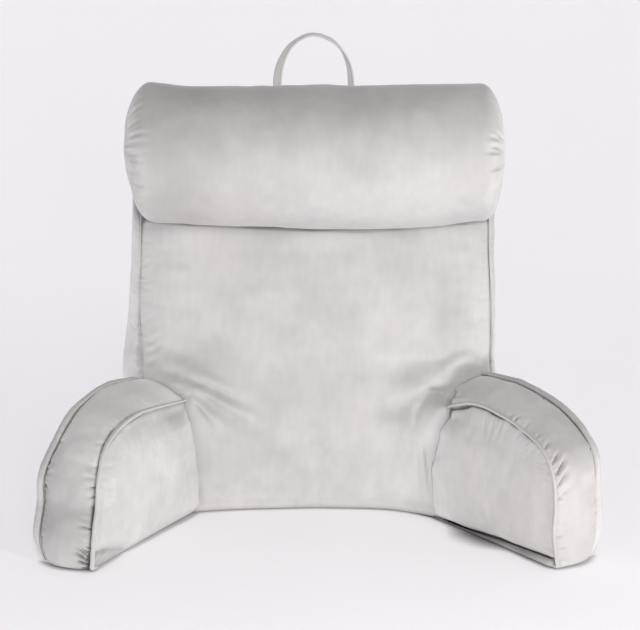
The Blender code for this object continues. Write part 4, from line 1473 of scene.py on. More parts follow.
    def dress(self, skin: Skin) -> None:
        """Sinks the seams, gathers the cloth along them, tucks the foot, gives it unevenness and paints shade
        and light on it.

        Args:
            skin: the filled cover, which is changed.
        """
        origin, along, away = self.frame_parts
        rows, count = skin.loops.shape[:2]
        out = self.normals[:, :1] * along + self.normals[:, 1:] * UP
        on_seam = np.zeros(count)
        on_seam[self.root_count - 2 : self.seam_end] = 1.0
        noise = SoftNoise(self.seed + 3)
        push = noise.summed(skin.loops, self.waves)
        crease = np.zeros((rows, count))
        is_inner, is_boxing, is_outer = (self.cloth(which) for which in Cloth)
        move = np.zeros((rows, count, 3))
        for seam, distance, travelled, sign, face, is_face in (
            (self.inner, self.from_inner, self.travelled[0], 1.0, Cloth.INNER, is_inner),
            (self.outer, self.from_outer, self.travelled[1], -1.0, Cloth.OUTER, is_outer),
        ):
            here = (is_face | is_boxing) * on_seam
            soft_side = is_face if seam.lies is Lies.ON_FACE else is_boxing
            arc = np.broadcast_to(travelled, (rows, count))
            start, total = travelled[self.root_count], travelled[self.seam_end - 1]
            drawn = np.clip(0.85 + 0.6 * SoftNoise(self.seed + 21).line(arc, 0.013), 0.35, 1.4)
            drawn = drawn * read(seam.drawn, (arc - start) / (total - start))
            sunk = seam.groove * np.exp(-distance / 0.0021) + 0.0016 * np.exp(-distance / 0.008)
            sunk = sunk * here * drawn * np.where(soft_side, seam.soft_groove, 1.0)
            move -= sunk[..., None] * (out - away * sign)[None] * 0.75
            raised = seam.shoulder * bump(distance, 0.0045, 0.0042) * here * soft_side
            raised = raised * (0.25 + 0.75 * np.clip(drawn, 0, 1))
            if seam.lies is Lies.ON_FACE:
                move -= raised[..., None] * away * sign
            else:
                move += raised[..., None] * out[None]
            # Painted shade along the seam's groove, faint on the side that the welt lies against.
            dark = np.exp(-distance / (0.0012 + 0.0010 * np.clip(drawn, 0, 1.6)))
            crease += here * drawn * np.where(soft_side, 0.08, 1.4) * dark
            fine = Gathers(self.seed + 7, *self.face_gathers).pinches(start, total)
            strong = Gathers(self.seed + 9, *self.boxing_gathers).pinches(start, total)
            push -= self.face_gather * pressed_by(fine, arc, distance) * is_face
            push -= pressed_by(strong, arc, distance) * is_boxing
            for on_face, cloth, *pinches in self.pinches:
                if on_face is not face:
                    continue
                # Painted shade in these pinches, darker on the boxing.
                part, dark = (is_boxing, 1.0) if cloth is Cloth.BOXING else (is_face, 0.3)
                for back, *sizes in pinches:
                    pressed = Pinch(total - back, *sizes).press(arc, distance) * part
                    push -= pressed
                    crease += np.clip(pressed / 0.0026, 0, 0.85) * dark
        skin.loops = skin.loops + move
        height = skin.loops[..., 2]
        foot = np.clip(1 - height / 0.007, 0, 1) ** 2 * (on_seam + (np.arange(count) >= self.seam_end))
        inner_tuck, outer_tuck = self.foot_tucks
        skin.shift(foot * is_inner * inner_tuck, away)
        skin.shift(foot * is_outer * outer_tuck, -away)
        skin.shift(-np.clip(1 - height / 0.008, 0, 1) ** 2 * on_seam * is_boxing * 0.0035, along)
        # Painted contact shade along the boxing's edge at the floor.
        crease += is_boxing * on_seam * self.foot_mark * np.clip(1 - height / 0.0035, 0, 1)
        # Painted shade in the gathers at the inner seam's foot.
        corner = np.exp(-self.from_inner / 0.0065) * bump(height, 0.006, 0.022)
        crease += is_boxing * on_seam * self.corner_mark * corner
        reach = (skin.loops - origin) @ along
        # Painted shade on the face's tucked corner, and along the fold above it.
        start, tall, dark = self.foot_patch
        tucked = tall * np.clip((reach - start) / 0.06, 0, 1) ** 0.8
        patch = is_inner * (1 - fade(height, tucked - 0.003, tucked + 0.002))
        patch = patch * fade(reach, start, start + 0.03)
        fold = is_inner * bump(height, tucked, 0.0032) * fade(reach, start, start + 0.015) * (tall > 0)
        skin.shift(0.0034 * fold, away)
        crease += 0.26 * fold * (1 - fade(reach, start + 0.03, start + 0.08))
        if self.foot_lift:
            edge = self.foot_lift * (0.40 + 0.60 * fade(reach, 0.0, 0.21))
            under = is_inner * (1 - fade(height, edge - 0.0015, edge + 0.0015))
            skin.shift(under * 0.0075, away)
            skin.shift(-bump(height, edge + 0.006, 0.005) * is_inner * 0.0012, away)
            # Painted shade in the recess under the lifted foot.
            crease += under * 0.95
        rolled = is_boxing * 0.0020 * np.exp(-((self.from_root / 0.006) ** 2)) * on_seam
        skin.shift(-rolled, out)
        skin.push(push * fade(height, 0.0, 0.01))
        skin.loops[..., 2] = np.maximum(skin.loops[..., 2], UNDERSIDE)
        skin.mark(crease)
        edge = np.minimum(self.from_inner, self.from_outer)
        first, last = self.travelled[0][[self.root_count, self.seam_end - 1]]
        share = np.clip((self.travelled[0] - first) / (last - first), 0, 1)
        # Painted shade and light on the boxing, the inner face and the outer face's lip, with mottling.
        drop = read(self.boxing_nap, share) * fade(edge, 0.0, 0.003)
        all_over, under_top, beside_back = self.face_nap
        face = under_top * np.exp(-((self.from_inner / 0.026) ** 2)) * np.clip(self.normals[:, 1], 0, 1)
        face = all_over + face + beside_back * (1 - fade(self.from_root, 0.015, 0.060))
        mottled = noise.summed(skin.loops, self.mottling)
        lip = is_outer * self.lip_nap * np.exp(-((self.from_outer / 0.020) ** 2))
        skin.nap = is_boxing * drop + is_inner * face + patch * dark + lip + mottled

    def settle(self, skin: Skin) -> None:
        """Fits the arm's root to the back cushion, so that it neither stands off it nor enters it."""
        origin, along, away = self.frame_parts
        apart = skin.loops - origin
        reach, offset, height = apart @ along, apart @ away, skin.loops[..., 2]
        moved = reach - self.root_start - self.from_root
        for row, column in np.argwhere(self.from_root < self.root_reach_end):
            share = max(self.from_root[row, column] / self.root_reach_end, 0.0)
            limit = self.root_reach(height[row, column], offset[row, column]) + CLEAR
            end = self.root_start[row, column] + self.root_reach_end
            fitted = limit + share * (end - limit) + moved[row, column] * share
            gap = max(fitted - limit, 0.0)
            skin.loops[row, column] += along * (limit + gap - reach[row, column])
            # Painted shade along the line where the arm meets the back.
            mark = self.root_mark[0] * math.exp(-((gap / self.root_mark[1]) ** 2))
            skin.crease[row, column] = max(skin.crease[row, column], mark)

    def welt_line(self, seam: ArmSeam, which: int) -> Array:
        """One welt's line, just off its seam, from the back cushion to the floor, where it turns under."""
        outline = self.outlines[which]
        origin, along, away = self.frame_parts
        span = slice(self.root_count, self.seam_end - 1)
        normals = self.outline_normals(outline)[span]
        points = self.placed(outline[span], np.full(self.seam_count - 1, self.width * which))
        off = normals[:, :1] * along + normals[:, 1:] * UP + away * seam.lean
        share = np.linspace(0, 1, len(points))
        drawn = np.clip(read(seam.drawn, share), 0, 1)[:, None]
        left = lengths_along(points)[-1] - lengths_along(points)
        thinned = seam.outset * (seam.least - 0.2 + (1.2 - seam.least) * drawn[:, 0])
        thinned = thinned - (1 - seam.foot_taper) * seam.radius * (1 - fade(left, 0.004, 0.040))
        points = points + off / np.linalg.norm(off, axis=1)[:, None] * thinned[:, None]
        apart = points - origin
        limits = [self.root_reach(point[2], gap) for point, gap in zip(points, apart @ away)]
        clear = (apart @ along > np.array(limits) - 0.0015) & (points[:, 2] > seam.radius + 0.0012)
        clear[: int(np.argmax(clear))] = False
        points = points[clear]
        sunk = 0.0030 * np.exp(-lengths_along(points) / 0.006)
        points = points - off[clear] / np.linalg.norm(off[clear], axis=1)[:, None] * sunk[:, None]
        under = points[-1] - along * np.array([[0.0012], [0.0040], [0.0090]])
        under[:, 2] = seam.radius + 0.0006
        return np.vstack([points, under])

    def details(self) -> tuple[str, str, float]:
        """The names of the piece and its CAD node, and how full it is."""
        return f"arm_cover_{self.word}", f"arm_{self.word}", 0.85

    def pipings(self) -> list[Piping]:
        """The arm's two welts, from the surface of the back."""
        made = []
        for which, (place, seam) in enumerate((("inner", self.inner), ("outer", self.outer))):
            line = self.welt_line(seam, which)
            travelled = lengths_along(line)
            drawn = np.clip(read(seam.drawn, travelled / travelled[-1]), 0, 1)
            thickness = (seam.least + (1 - seam.least) * drawn) * (0.45 + 0.55 * fade(travelled, 0.0, 0.014))
            left = travelled[-1] - travelled
            thickness = thickness * (1 - (1 - seam.foot_taper) * (1 - fade(left, 0.012, 0.050)))
            name, node = f"piping_{self.word}_{place}", f"welt_{self.word}_{place}"
            made.append(Piping(name, node, line, seam.radius, seed=self.seed + which, thickness=thickness))
        return made


# ---- The neck roll ----


@dataclass
class NeckRoll(Cover):
    """The neck roll: a soft tube with swelling, gathered ends, that lies against the back."""

    back: BackCover  # the back cushion, which it lies against, built already
    # x, height of its top, height of its underside
    rows: tuple = (
        (-0.199, 0.564, 0.392),
        (-0.138, 0.560, 0.389),
        (-0.066, 0.5595, 0.387),
        (0.010, 0.562, 0.385),
        (0.060, 0.560, 0.3835),
        (0.144, 0.562, 0.387),
        (0.205, 0.563, 0.394),
    )
    height: float = 0.474
    depth: float = 0.170
    press: float = 0.007
    domes: tuple[float, float] = (0.034, 0.029)
    tucks: tuple[float, float] = (0.009, 0.003)
    lower_fullness: float = 1.3  # how square the ends' lower edge is
    waist: float = 0.85  # how far they draw in above it, as a share of the tuck
    sides: int = 230
    stations: int = 150
    dome_rings: int = 26
    end_length: float = 0.085  # from an end's middle to the tube, along the cloth
    gathers: tuple[int, float] = (26, 0.0013)  # how many at an end, and how deep
    # x, and how much painted shade darkens the roll there
    nap: tuple = (
        (-0.225, 0.08),
        (-0.19, 0.22),
        (-0.15, 0.26),
        (-0.08, 0.20),
        (0.02, 0.14),
        (0.15, 0.08),
        (0.22, 0.08),
    )
    # height and length of its unevenness
    waves: tuple = ((0.0014, (0.050, 0.060, 0.080)), (0.0006, (0.016, 0.03, 0.06)))
    mottling: tuple = ((0.03, 0.05), (0.022, 0.013))  # strength and size of the blotches in its pile
    rim_mottling: tuple = ((0.10, 0.005), (0.05, 0.012))  # the same on the left end
    brushed: tuple = (  # place, size, and how much painted shade darkens the roll there, below 0 painted light
        ((-0.190, 0.470), (0.045, 0.060), 0.11),
        ((0.225, 0.490), (0.022, 0.050), -0.10),
        ((0.195, 0.475), (0.030, 0.030), 0.07),
        ((-0.150, 0.505), (0.045, 0.022), 0.07),
        ((-0.095, 0.530), (0.070, 0.020), -0.11),
        ((0.058, 0.467), (0.036, 0.030), 0.12),
        ((0.130, 0.470), (0.080, 0.050), 0.05),
        ((0.190, 0.548), (0.030, 0.020), -0.14),
    )
    # end, turn in degrees, start and end of its reach from the pole, half width in degrees, depth
    knots: tuple = (
        (0, 174.0, 0.026, 0.070, 1.7, 0.0017),
        (0, 182.0, 0.034, 0.092, 1.6, 0.0013),
        (0, 193.0, 0.024, 0.078, 1.9, 0.0012),
        (0, 160.0, 0.036, 0.100, 1.8, 0.0012),
        (0, 205.0, 0.030, 0.090, 2.0, 0.0010),
        (0, 148.0, 0.030, 0.084, 1.6, 0.0009),
        (1, 171.0, 0.044, 0.082, 1.5, 0.0024),
        (1, 175.5, 0.050, 0.092, 1.3, 0.0022),
        (1, 190.0, 0.044, 0.092, 1.5, 0.0026),
        (1, 194.5, 0.050, 0.080, 1.2, 0.0016),
        (1, 163.0, 0.052, 0.086, 1.4, 0.0012),
    )

    def skin(self) -> Skin:
        """The cover before it is filled.

        Returns:
            The skin. The distance of each point from its end's middle is kept for dress().
        """
        level = self.back.row_at(np.array([self.height]))
        panel = float(self.back.front_y(np.array([0.0]), np.array([self.height]), level)[0])
        self.centre_y = panel + self.press - self.depth / 2
        rows = spread_through(self.rows, self.stations)
        turns = np.arange(self.sides) * 2 * math.pi / self.sides
        lower = ((1 - np.sin(turns)) / 2) ** 2
        fullness = 2 / (2 + self.lower_fullness * lower)
        lower = lower + self.waist * bump(np.sin(turns), -0.80, 0.30)

        def loop(x: float, top: float, bottom: float, angle: float, dome: float, tuck: float) -> Array:
            middle, half = (top + bottom) / 2, (top - bottom) / 2
            size = math.cos(angle) ** fullness
            return np.stack(
                [
                    x + dome * math.sin(angle) ** fullness + tuck * lower,
                    self.centre_y + self.depth / 2 * size * np.cos(turns),
                    middle + half * size * np.sin(turns),
                ],
                axis=1,
            )

        angles = np.linspace(0, math.pi / 2, self.dome_rings + 1)[1:-1]
        spare = 1 - angles / (math.pi / 2)  # the share of the end that is left before its middle
        left, right = (
            [loop(*row, angle, side * dome, -side * tuck * share**0.5) for angle, share in zip(angles, spare)]
            for side, row, dome, tuck in zip((-1, 1), (rows[0], rows[-1]), self.domes, self.tucks)
        )
        near = np.minimum(rows[:, 0] - rows[0, 0], rows[-1, 0] - rows[:, 0])
        body = []
        for (x, top, bottom), inward in zip(rows, 1 - fade(near, 0.0, 0.06)):
            shift = -math.copysign(1, x) * self.tucks[int(x >= 0)] * inward
            body.append(loop(x, top, bottom, 0.0, 0.0, float(shift)))
        ends = self.end_length * spare
        from_end = np.concatenate([ends[::-1], self.end_length + near, ends])
        self.from_end = from_end[:, None] + np.zeros((1, self.sides))
        self.turns = turns
        return Skin(np.array([*left[::-1], *body, *right]))

    def seam_points(self, skin: Skin) -> Array:
        """Points round the ends' seams, which hold the cloth while it is filled."""
        return np.vstack([skin.loops[4], skin.loops[-5]])

    def dress(self, skin: Skin) -> None:
        """Gathers the ends, gives the roll its soft unevenness and paints shade and light on it.

        Args:
            skin: the filled cover, which is changed.
        """
        noise = SoftNoise(61)
        push = noise.summed(skin.loops, self.waves)
        crease = np.zeros(push.shape)
        half = len(skin.loops) // 2
        draw = np.random.default_rng(62)
        count, depth = self.gathers
        creases = list(self.knots)
        for end in (0, 1):
            for at in np.arange(count) * 360 / count:
                start, reach = draw.uniform(0.012, 0.035), draw.uniform(0.060, 0.115)
                width, deep = draw.uniform(1.6, 3.4), depth * draw.uniform(0.0, 1.5) ** 1.5
                creases.append((end, at + draw.uniform(-7, 7), start, reach, width, deep))
        for end, angle, start, reach, width, deep in creases:
            part = slice(half, None) if end else slice(0, half)
            distance = self.from_end[part]
            gap = np.abs(np.mod(np.degrees(self.turns)[None] - angle + 180, 360) - 180) / width
            valley = np.exp(-(gap**2)) - 0.45 * np.exp(-((gap - 1.9) ** 2))
            ends = fade(distance, start, start + 0.35 * (reach - start))
            ends = ends * (1 - fade(distance, 0.5 * (start + reach), reach))
            push[part] -= deep * valley * ends
            # Painted shade in the gathers.
            crease[part] += 0.20 * np.clip(valley, 0, 1) * ends * deep / depth
        skin.push(push)
        skin.mark(crease)
        x = skin.loops[..., 0]
        height = skin.loops[..., 2]
        # Painted shade along the roll, darker low on its left.
        nap = read(self.nap, x) + 0.05 * (1 - fade(height, 0.40, 0.50)) * bump(x, -0.165, 0.050)
        nap = with_painted_patches(self.brushed, x, height, nap)
        # Painted light on the left end's rim, with mottling.
        rim = (1 - fade(self.from_end, 0.055, self.end_length)) * (x < 0)
        rim_light_and_mottling = noise.summed(skin.loops, self.rim_mottling) - 0.07
        skin.nap = nap + rim * rim_light_and_mottling + noise.summed(skin.loops, self.mottling)

    def settle(self, skin: Skin) -> None:
        """Flattens the roll's back where it meets the front panel."""
        for row, column in np.argwhere(skin.loops[..., 1] > self.centre_y):
            point = skin.loops[row, column]
            hit = self.back.surface.ray_cast(Vector((point[0], -0.3, point[2])), Vector((0, 1, 0)), 0.6)
            if hit[0] is not None:
                point[1] = min(point[1], hit[0][1] - CLEAR)

    def details(self) -> tuple[str, str, float]:
        """The names of the piece and its CAD node, and how full it is."""
        return "roll_cover", "neck_roll", 0.7


# ---- The carry loop ----


@dataclass
class CarryLoop:
    """The carry loop: one flat strap bent over, stitched along both edges."""

    # x, height above the strap's foot, turn of the strap about its own length in degrees
    rows: tuple = (
        (-0.0480, 0.000, 37.0),
        (-0.0482, 0.030, 39.0),
        (-0.0422, 0.056, 31.0),
        (-0.0265, 0.0785, 16.0),
        (-0.0010, 0.0895, 10.0),
        (0.0265, 0.0800, 9.0),
        (0.0440, 0.056, -15.0),
        (0.0488, 0.030, -23.0),
        (0.0490, 0.000, -30.0),
    )
    width: float = 0.018
    thickness: float = 0.0032
    y: float = 0.082
    foot: float = 0.532
    count: int = 170
    stitch_in: float = 0.0028  # distance of each row of stitches from its edge
    stitch: tuple[float, float, float] = (0.0034, 0.0027, 0.00038)  # pitch, length and radius of the stitches

    def lines(self, surface: BVHTree) -> tuple[Array, Array, Array]:
        """The strap's middle line, and its wide and thin directions."""
        rows = along_length(spread_through(self.rows, 600), 600)
        path = np.stack([rows[:, 0], np.full(600, self.y), self.foot + rows[:, 1]], axis=1)
        down = Vector((0, 0, -1))
        top = [surface.ray_cast(Vector((x, self.y, 0.8)), down, 0.6)[0][2] for x in rows[[0, -1], 0]]
        middle = len(path) // 2
        keep = path[:, 2] > np.where(np.arange(600) < middle, top[0], top[1]) + CLEAR + 0.0003
        rows, path = rows[keep], path[keep]
        table = along_length(np.hstack([path, rows[:, 2:]]), self.count)
        path, turn = table[:, :3], np.radians(table[:, 3])[:, None]
        tangent = np.gradient(path, axis=0)
        tangent /= np.linalg.norm(tangent, axis=1)[:, None]
        outward = np.stack([-tangent[:, 2], np.zeros(self.count), tangent[:, 0]], axis=1)
        fore = np.array([[0.0, 1.0, 0.0]])
        wide = fore * np.cos(turn) + outward * np.sin(turn)
        return path, wide, outward * np.cos(turn) - fore * np.sin(turn)

    def build(
        self, back: BackCover, stitches: PathTree, finish: Material, thread: Material
    ) -> list[Object]:
        """Builds the strap and its rows of stitches, two on each face.

        Args:
            back: the back cushion, built already.
            stitches: the stitch tree.
            finish: the strap's velour.
            thread: the thread.

        Returns:
            The pieces.
        """
        path, wide, thin = self.lines(back.surface)
        turns = np.linspace(0, 2 * math.pi, 29)[:-1]
        across = np.sign(np.cos(turns)) * np.abs(np.cos(turns)) ** 0.55 * self.width / 2
        deep = np.sign(np.sin(turns)) * np.abs(np.sin(turns)) ** 0.7 * self.thickness / 2
        share = np.abs(across) / (self.width / 2)
        stitched = bump(share, 1 - 2 * self.stitch_in / self.width, 0.09) * 0.00055
        deep = deep - np.sign(deep) * stitched
        travelled = lengths_along(path)
        wave = SoftNoise(71).line(travelled, 0.017)[:, None, None] * 0.0004
        loops = path[:, None] + wide[:, None] * across[:, None] + thin[:, None] * (deep[:, None] + wave)
        skin = Skin(loops)
        strap = put("carry_strap", skin.mesh("carry_strap"), finish)
        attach(strap, "root")
        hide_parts("carry_loop")
        made = [strap]
        for word, edge in (("front", -1), ("rear", 1)):
            inset = edge * (self.width / 2 - self.stitch_in)
            for face, lift in (("outer", 1), ("inner", -1)):
                line = path + wide * inset + thin * lift * (self.thickness / 2 - 0.00035) + thin * wave[:, 0]
                name = f"strap_stitches_{word}_{face}"
                pitch, length, radius = self.stitch
                values = {"Pitch": pitch, "Length": length, "Radius": radius, "Material": thread}
                row = put(name, stitches.run(name, path_mesh(name, line), values), thread)
                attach(row, "root")
                made.append(row)
        return made


# ---- The studio ----


@dataclass(frozen=True)
class Softbox:
    """A square area light that looks at a point."""

    name: str
    place: tuple[float, float, float]
    aim: tuple[float, float, float]
    size: float
    power: float
    colour: tuple[float, float, float] = (1.0, 1.0, 1.0)

    def build(self) -> None:
        """Hangs the light."""
        data = bpy.data.lights.new(self.name, "AREA")
        data.size, data.energy, data.color = self.size, self.power, self.colour
        lamp = in_scene(self.name, data)
        lamp.location = self.place
        lamp.visible_camera = False
        lamp.rotation_euler = (Vector(self.aim) - Vector(self.place)).to_track_quat("-Z", "Y").to_euler()


@dataclass(frozen=True)
class Studio:
    """The camera, the pale sweep and the lights."""

    eye: tuple[float, float, float] = (0.00086, -1.9318, 0.6269)
    pitch: float = 10.5
    lens: float = 86.39
    sensor: float = 36.0
    world: float = 0.58
    world_colour: tuple[float, float, float] = (0.985, 0.985, 1.0)
    lights: tuple[Softbox, ...] = (
        Softbox("key", (1.35, -1.75, 0.62), (0.0, 0.0, 0.25), 0.55, 14.5, (1.0, 0.985, 0.965)),
        Softbox("front", (0.15, -2.30, 0.80), (0.0, 0.0, 0.25), 0.40, 13.0, (1.0, 0.99, 0.975)),
        Softbox("fill", (-1.3, -1.9, 0.60), (0.0, 0.0, 0.25), 1.0, 3.0, (0.97, 0.98, 1.0)),
    )
    floor_radius: float = 2.3
    cove: float = 1.1  # radius of the curve between the floor and the wall round it
    wall: float = 3.2
    sides: int = 96

    def sweep(self) -> Object:
        """The floor, which curves up into a wall all round."""
        rows = [(self.floor_radius * share, 0.0) for share in (0.3, 0.7, 0.97)]
        for angle in np.linspace(0, math.pi / 2, 25):
            rows.append((self.floor_radius + self.cove * math.sin(angle), self.cove * (1 - math.cos(angle))))
        rows.append((self.floor_radius + self.cove, self.wall))
        turns = np.arange(self.sides) * 2 * math.pi / self.sides
        circle = np.stack([np.cos(turns), np.sin(turns)], axis=1)
        loops = np.array([np.hstack([circle * r, np.full((self.sides, 1), z)]) for r, z in rows])
        number = np.arange(loops.shape[0] * self.sides).reshape(loops.shape[:2])
        ahead = np.roll(number, -1, axis=1)
        walls = np.stack([number[:-1], number[1:], ahead[1:], ahead[:-1]], axis=-1).reshape(-1, 4)
        faces = [number[0].tolist(), *walls.tolist()]
        mesh = bpy.data.meshes.new("sweep")
        mesh.from_pydata(loops.reshape(-1, 3).tolist(), [], faces)
        mesh.shade_smooth()
        return put("sweep", mesh, Paper("pale_paper").material())

    def build(self) -> None:
        """Builds the studio."""
        scene = bpy.context.scene
        data = bpy.data.cameras.new("camera")
        data.lens, data.sensor_width, data.sensor_fit = self.lens, self.sensor, "HORIZONTAL"
        data.clip_end = 50.0
        camera = in_scene("camera", data)
        camera.location = self.eye
        camera.rotation_euler = (math.radians(90 - self.pitch), 0.0, 0.0)
        scene.camera = camera
        world = bpy.data.worlds.new("studio")
        world.use_nodes = True
        shade = world.node_tree.nodes["Background"]
        shade.inputs[0].default_value = (*self.world_colour, 1.0)
        shade.inputs[1].default_value = self.world
        scene.world = world
        scene.view_settings.view_transform = "Standard"
        self.sweep()
        for light in self.lights:
            light.build()


# ---- The pillow ----

LEFT_ARM = ArmCover(
    word="left",
    side=-1,
    crease=(-0.166, -0.0237),
    splay=23.8,
    width=0.0729,
    inner_crown=0.012,
    rows=(
        (-0.060, 0.148, -0.060, 0.168),
        (0.000, 0.154, 0.018, 0.177),
        (0.100, 0.163, 0.080, 0.181),
        (0.160, 0.159, 0.150, 0.165),
        (0.199, 0.142, 0.190, 0.137),
        (0.216, 0.110, 0.220, 0.107),
        (0.223, 0.072, 0.226, 0.070),
        (0.230, 0.045, 0.236, 0.038),
        (0.238, 0.000, 0.236, 0.000),
    ),
    inner=ArmSeam(
        Lies.ON_FACE,
        lean=-1.3,
        drawn=((0.0, 0.15), (0.15, 0.35), (0.30, 0.6), (0.42, 1.1), (0.93, 1.25), (1.0, 1.2)),
    ),
    outer=ArmSeam(
        Lies.ON_FACE,
        lean=0.35,
        outset=0.0036,
        radius=0.0040,
        drawn=((0.0, 0.2), (0.30, 0.45), (0.48, 1.1), (0.75, 1.0), (1.0, 1.5)),
        foot_taper=0.35,
    ),
    seed=101,
    foot_tucks=(0.0008, 0.0035),
    # painted contact shade on the boxing's foot, and painted shade on the face's tucked corner
    foot_mark=0.95,
    foot_patch=(0.150, 0.021, 0.26),
    bow=(
        (0.0, 0.001), (0.004, 0.006), (0.016, 0.0125), (0.06, 0.0130), (0.094, 0.0115),
        (0.128, 0.0070), (0.145, 0.0),
    ),
    # painted shade beside the back, painted shade and light on the boxing, the face and the lip, and in the
    # corner's gathers
    root_mark=(0.95, 0.0110),
    boxing_nap=(
        (0.0, -0.60), (0.08, -0.52), (0.18, -0.27), (0.32, -0.28), (0.42, -0.18), (0.50, -0.28),
        (0.56, -0.26), (0.62, -0.10), (0.68, 0.06), (0.74, 0.18), (0.80, 0.22), (0.88, 0.22),
        (0.94, 0.14), (1.0, 0.14),
    ),
    face_nap=(0.0, 0.24, -0.07),
    lip_nap=-0.28,
    corner_mark=0.65,
    pinches=(
        (
            Cloth.INNER,
            Cloth.BOXING,
            (0.003, 0.013, 0.0018, 0.0030, 0.0, 0.0),
            (0.007, 0.020, 0.0017, 0.0034, -0.35, 0.0),
            (0.011, 0.024, 0.0016, 0.0032, -0.6, 0.0),
            (0.015, 0.021, 0.0016, 0.0028, -0.8, 0.0),
            (0.020, 0.014, 0.0015, 0.0022, -0.7, 0.0),
            (0.026, 0.010, 0.0014, 0.0014, -0.5, 0.0),
            (0.049, 0.020, 0.0017, 0.0020, -0.2, 0.0),
            (0.088, 0.010, 0.0016, 0.0012, 0.2, 0.0),
            (0.098, 0.012, 0.0018, 0.0014, -0.1, 0.0),
        ),
        (
            Cloth.OUTER,
            Cloth.BOXING,
            (0.098, 0.014, 0.0020, 0.0022, 0.5, 0.0),
            (0.112, 0.012, 0.0018, 0.0016, -0.4, 0.0),
        ),
        (
            Cloth.INNER,
            Cloth.INNER,
            (0.008, 0.016, 0.0030, 0.0012, 0.2, 0.002),
        ),
    ),
)
RIGHT_ARM = ArmCover(
    word="right",
    side=1,
    crease=(0.1656, -0.0489),
    splay=33.5,
    width=0.0708,
    inner_crown=0.006,
    rows=(
        (-0.060, 0.138, -0.060, 0.180),
        (0.006, 0.152, 0.022, 0.186),
        (0.070, 0.167, 0.080, 0.183),
        (0.140, 0.158, 0.145, 0.169),
        (0.190, 0.139, 0.190, 0.142),
        (0.211, 0.110, 0.208, 0.111),
        (0.216, 0.075, 0.211, 0.070),
        (0.215, 0.036, 0.213, 0.035),
        (0.223, 0.000, 0.214, 0.000),
    ),
    inner=ArmSeam(
        Lies.ON_BOXING,
        lean=-0.35,
        radius=0.0024,
        drawn=((0.0, 1.2), (0.22, 1.1), (0.35, 0.7), (0.8, 0.75), (1.0, 0.6)),
    ),
    outer=ArmSeam(
        Lies.ON_FACE,
        lean=0.35,
        outset=0.0036,
        radius=0.0038,
        drawn=((0.0, 0.5), (0.2, 0.9), (0.55, 1.0), (0.68, 0.35), (0.76, 0.06), (1.0, 0.0)),
        foot_taper=0.4,
        least=0.12,
    ),
    seed=151,
    bow=(
        (0.0, 0.002), (0.020, 0.0060), (0.046, 0.0068), (0.07, 0.0080), (0.094, 0.0085),
        (0.121, 0.0065), (0.142, 0.001),
    ),
    # painted shade beside the back, and painted shade and light on the boxing and the face
    root_mark=(1.6, 0.0095),
    boxing_nap=(
        (0.0, -0.26), (0.06, -0.24), (0.15, -0.18), (0.25, -0.10), (0.43, -0.09), (0.54, -0.02),
        (0.60, 0.12), (0.65, 0.12), (0.70, 0.06), (0.80, 0.10), (1.0, 0.12),
    ),
    face_nap=(0.08, 0.0, -0.17),
    foot_mark=0.0,
    pinches=(
        (
            Cloth.INNER,
            Cloth.BOXING,
            (0.084, 0.022, 0.0024, 0.0014, -0.7, 0.002),
            (0.099, 0.024, 0.0025, 0.0022, -0.8, 0.002),
            (0.111, 0.026, 0.0026, 0.0028, -0.8, 0.003),
            (0.126, 0.020, 0.0024, 0.0024, -0.6, 0.002),
            (0.145, 0.016, 0.0024, 0.0018, -0.5, 0.002),
            (0.163, 0.014, 0.0022, 0.0014, -0.3, 0.002),
            (0.205, 0.014, 0.0024, 0.0018, 0.0, 0.002),
            (0.216, 0.012, 0.0022, 0.0014, 0.2, 0.002),
        ),
        (
            Cloth.INNER,
            Cloth.INNER,
            (0.225, 0.034, 0.0030, 0.0010, 0.1, 0.002),
            (0.242, 0.040, 0.0034, 0.0012, 0.1, 0.002),
            (0.258, 0.036, 0.0030, 0.0010, 0.0, 0.002),
            (0.005, 0.020, 0.0030, 0.0014, 0.4, 0.002),
        ),
    ),
    foot_lift=0.0110,
)


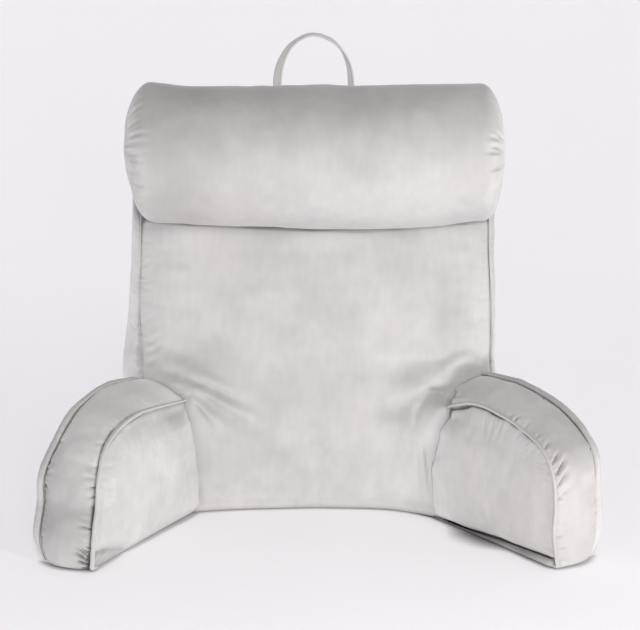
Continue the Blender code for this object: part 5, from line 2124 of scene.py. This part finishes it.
@dataclass(frozen=True)
class BaseWelt:
    """The welt round the foot of the right arm's inner face, which lies on the floor."""

    start: float = -0.012
    end: float = 0.2125
    inset: tuple[float, float] = (0.0003, 0.0026)  # how far it stands off the face, at the back and in front
    radius: float = 0.0046
    thin: float = 0.30  # its thickness at the back, as a share

    def piping(self, arm: ArmCover) -> Piping:
        """The welt's line and size on its arm."""
        origin, along, away = arm.frame_parts
        reach = np.linspace(self.start, self.end, 170)
        grown = fade(reach, 0.02, 0.22)
        share = self.thin + (1 - self.thin) * grown
        behind, before = self.inset
        swell = arm.swell_at(np.full(len(reach), 0.002), reach - self.start)
        offset = swell + behind + (before - behind) * grown
        wave = 0.0006 * SoftNoise(81).line(reach, 0.02)
        points = origin + reach[:, None] * along - (offset + wave)[:, None] * away
        points = points + (self.radius * share * 1.10 + UNDERSIDE)[:, None] * UP
        under = points[-1] + away * np.array([[0.002], [0.006], [0.012]]) + along * 0.0012
        share = np.concatenate([share, share[-1:].repeat(3)])
        line = np.vstack([points, under])
        return Piping("piping_right_base", "welt_right_base", line, self.radius, 0.2, 9.0, share)


def main() -> None:
    """Builds the studio and the pillow, piece by piece."""
    logging.basicConfig(level=logging.INFO, format="%(message)s")
    Studio().build()
    velour = Velour("silver_velour").material()
    # The piping's velour: a little more painted shade by facing.
    piping_velour = Velour("piping_velour", turned=(0.93, 0.62)).material()
    # The strap's velour: lighter colours, with its own painted shade by facing.
    strap_velour = Velour(
        "strap_velour", (0.86, 0.84, 0.82), (0.78, 0.76, 0.75), turned=(1.0, 0.74)
    ).material()
    thread = Thread("silver_thread").material()
    # A far darker copy of the velour: painted shade for the base welt, which lies in the shadow under the
    # face.
    base_velour = Velour("base_velour", (0.19, 0.18, 0.187), (0.14, 0.133, 0.139), sheen=0.05).material()

    back = BackCover()
    back.build(Stuffing(slack=0.014, cap=0.006), velour)
    LOG.info("back cover built")
    pipings = [back.piping()]
    for arm in (LEFT_ARM, RIGHT_ARM):
        arm.back = back
        arm.build(Stuffing(slack=0.014, cap=0.005), velour)
        pipings += arm.pipings()
        LOG.info("%s arm built", arm.word)
    tree = piping_tree()
    for piping in pipings:
        piece = piping.build(tree, piping_velour)
        LOG.info("%s built, %d faces", piece.name, len(piece.data.polygons))
    BaseWelt().piping(RIGHT_ARM).build(tree, base_velour)
    NeckRoll(back).build(Stuffing(slack=0.006, cap=0.004, calm=3), velour)
    LOG.info("neck roll built")
    CarryLoop().build(back, stitch_tree(), strap_velour, thread)
    LOG.info("carry loop built")

    bpy.context.view_layer.update()


if __name__ == "__main__":
    main()
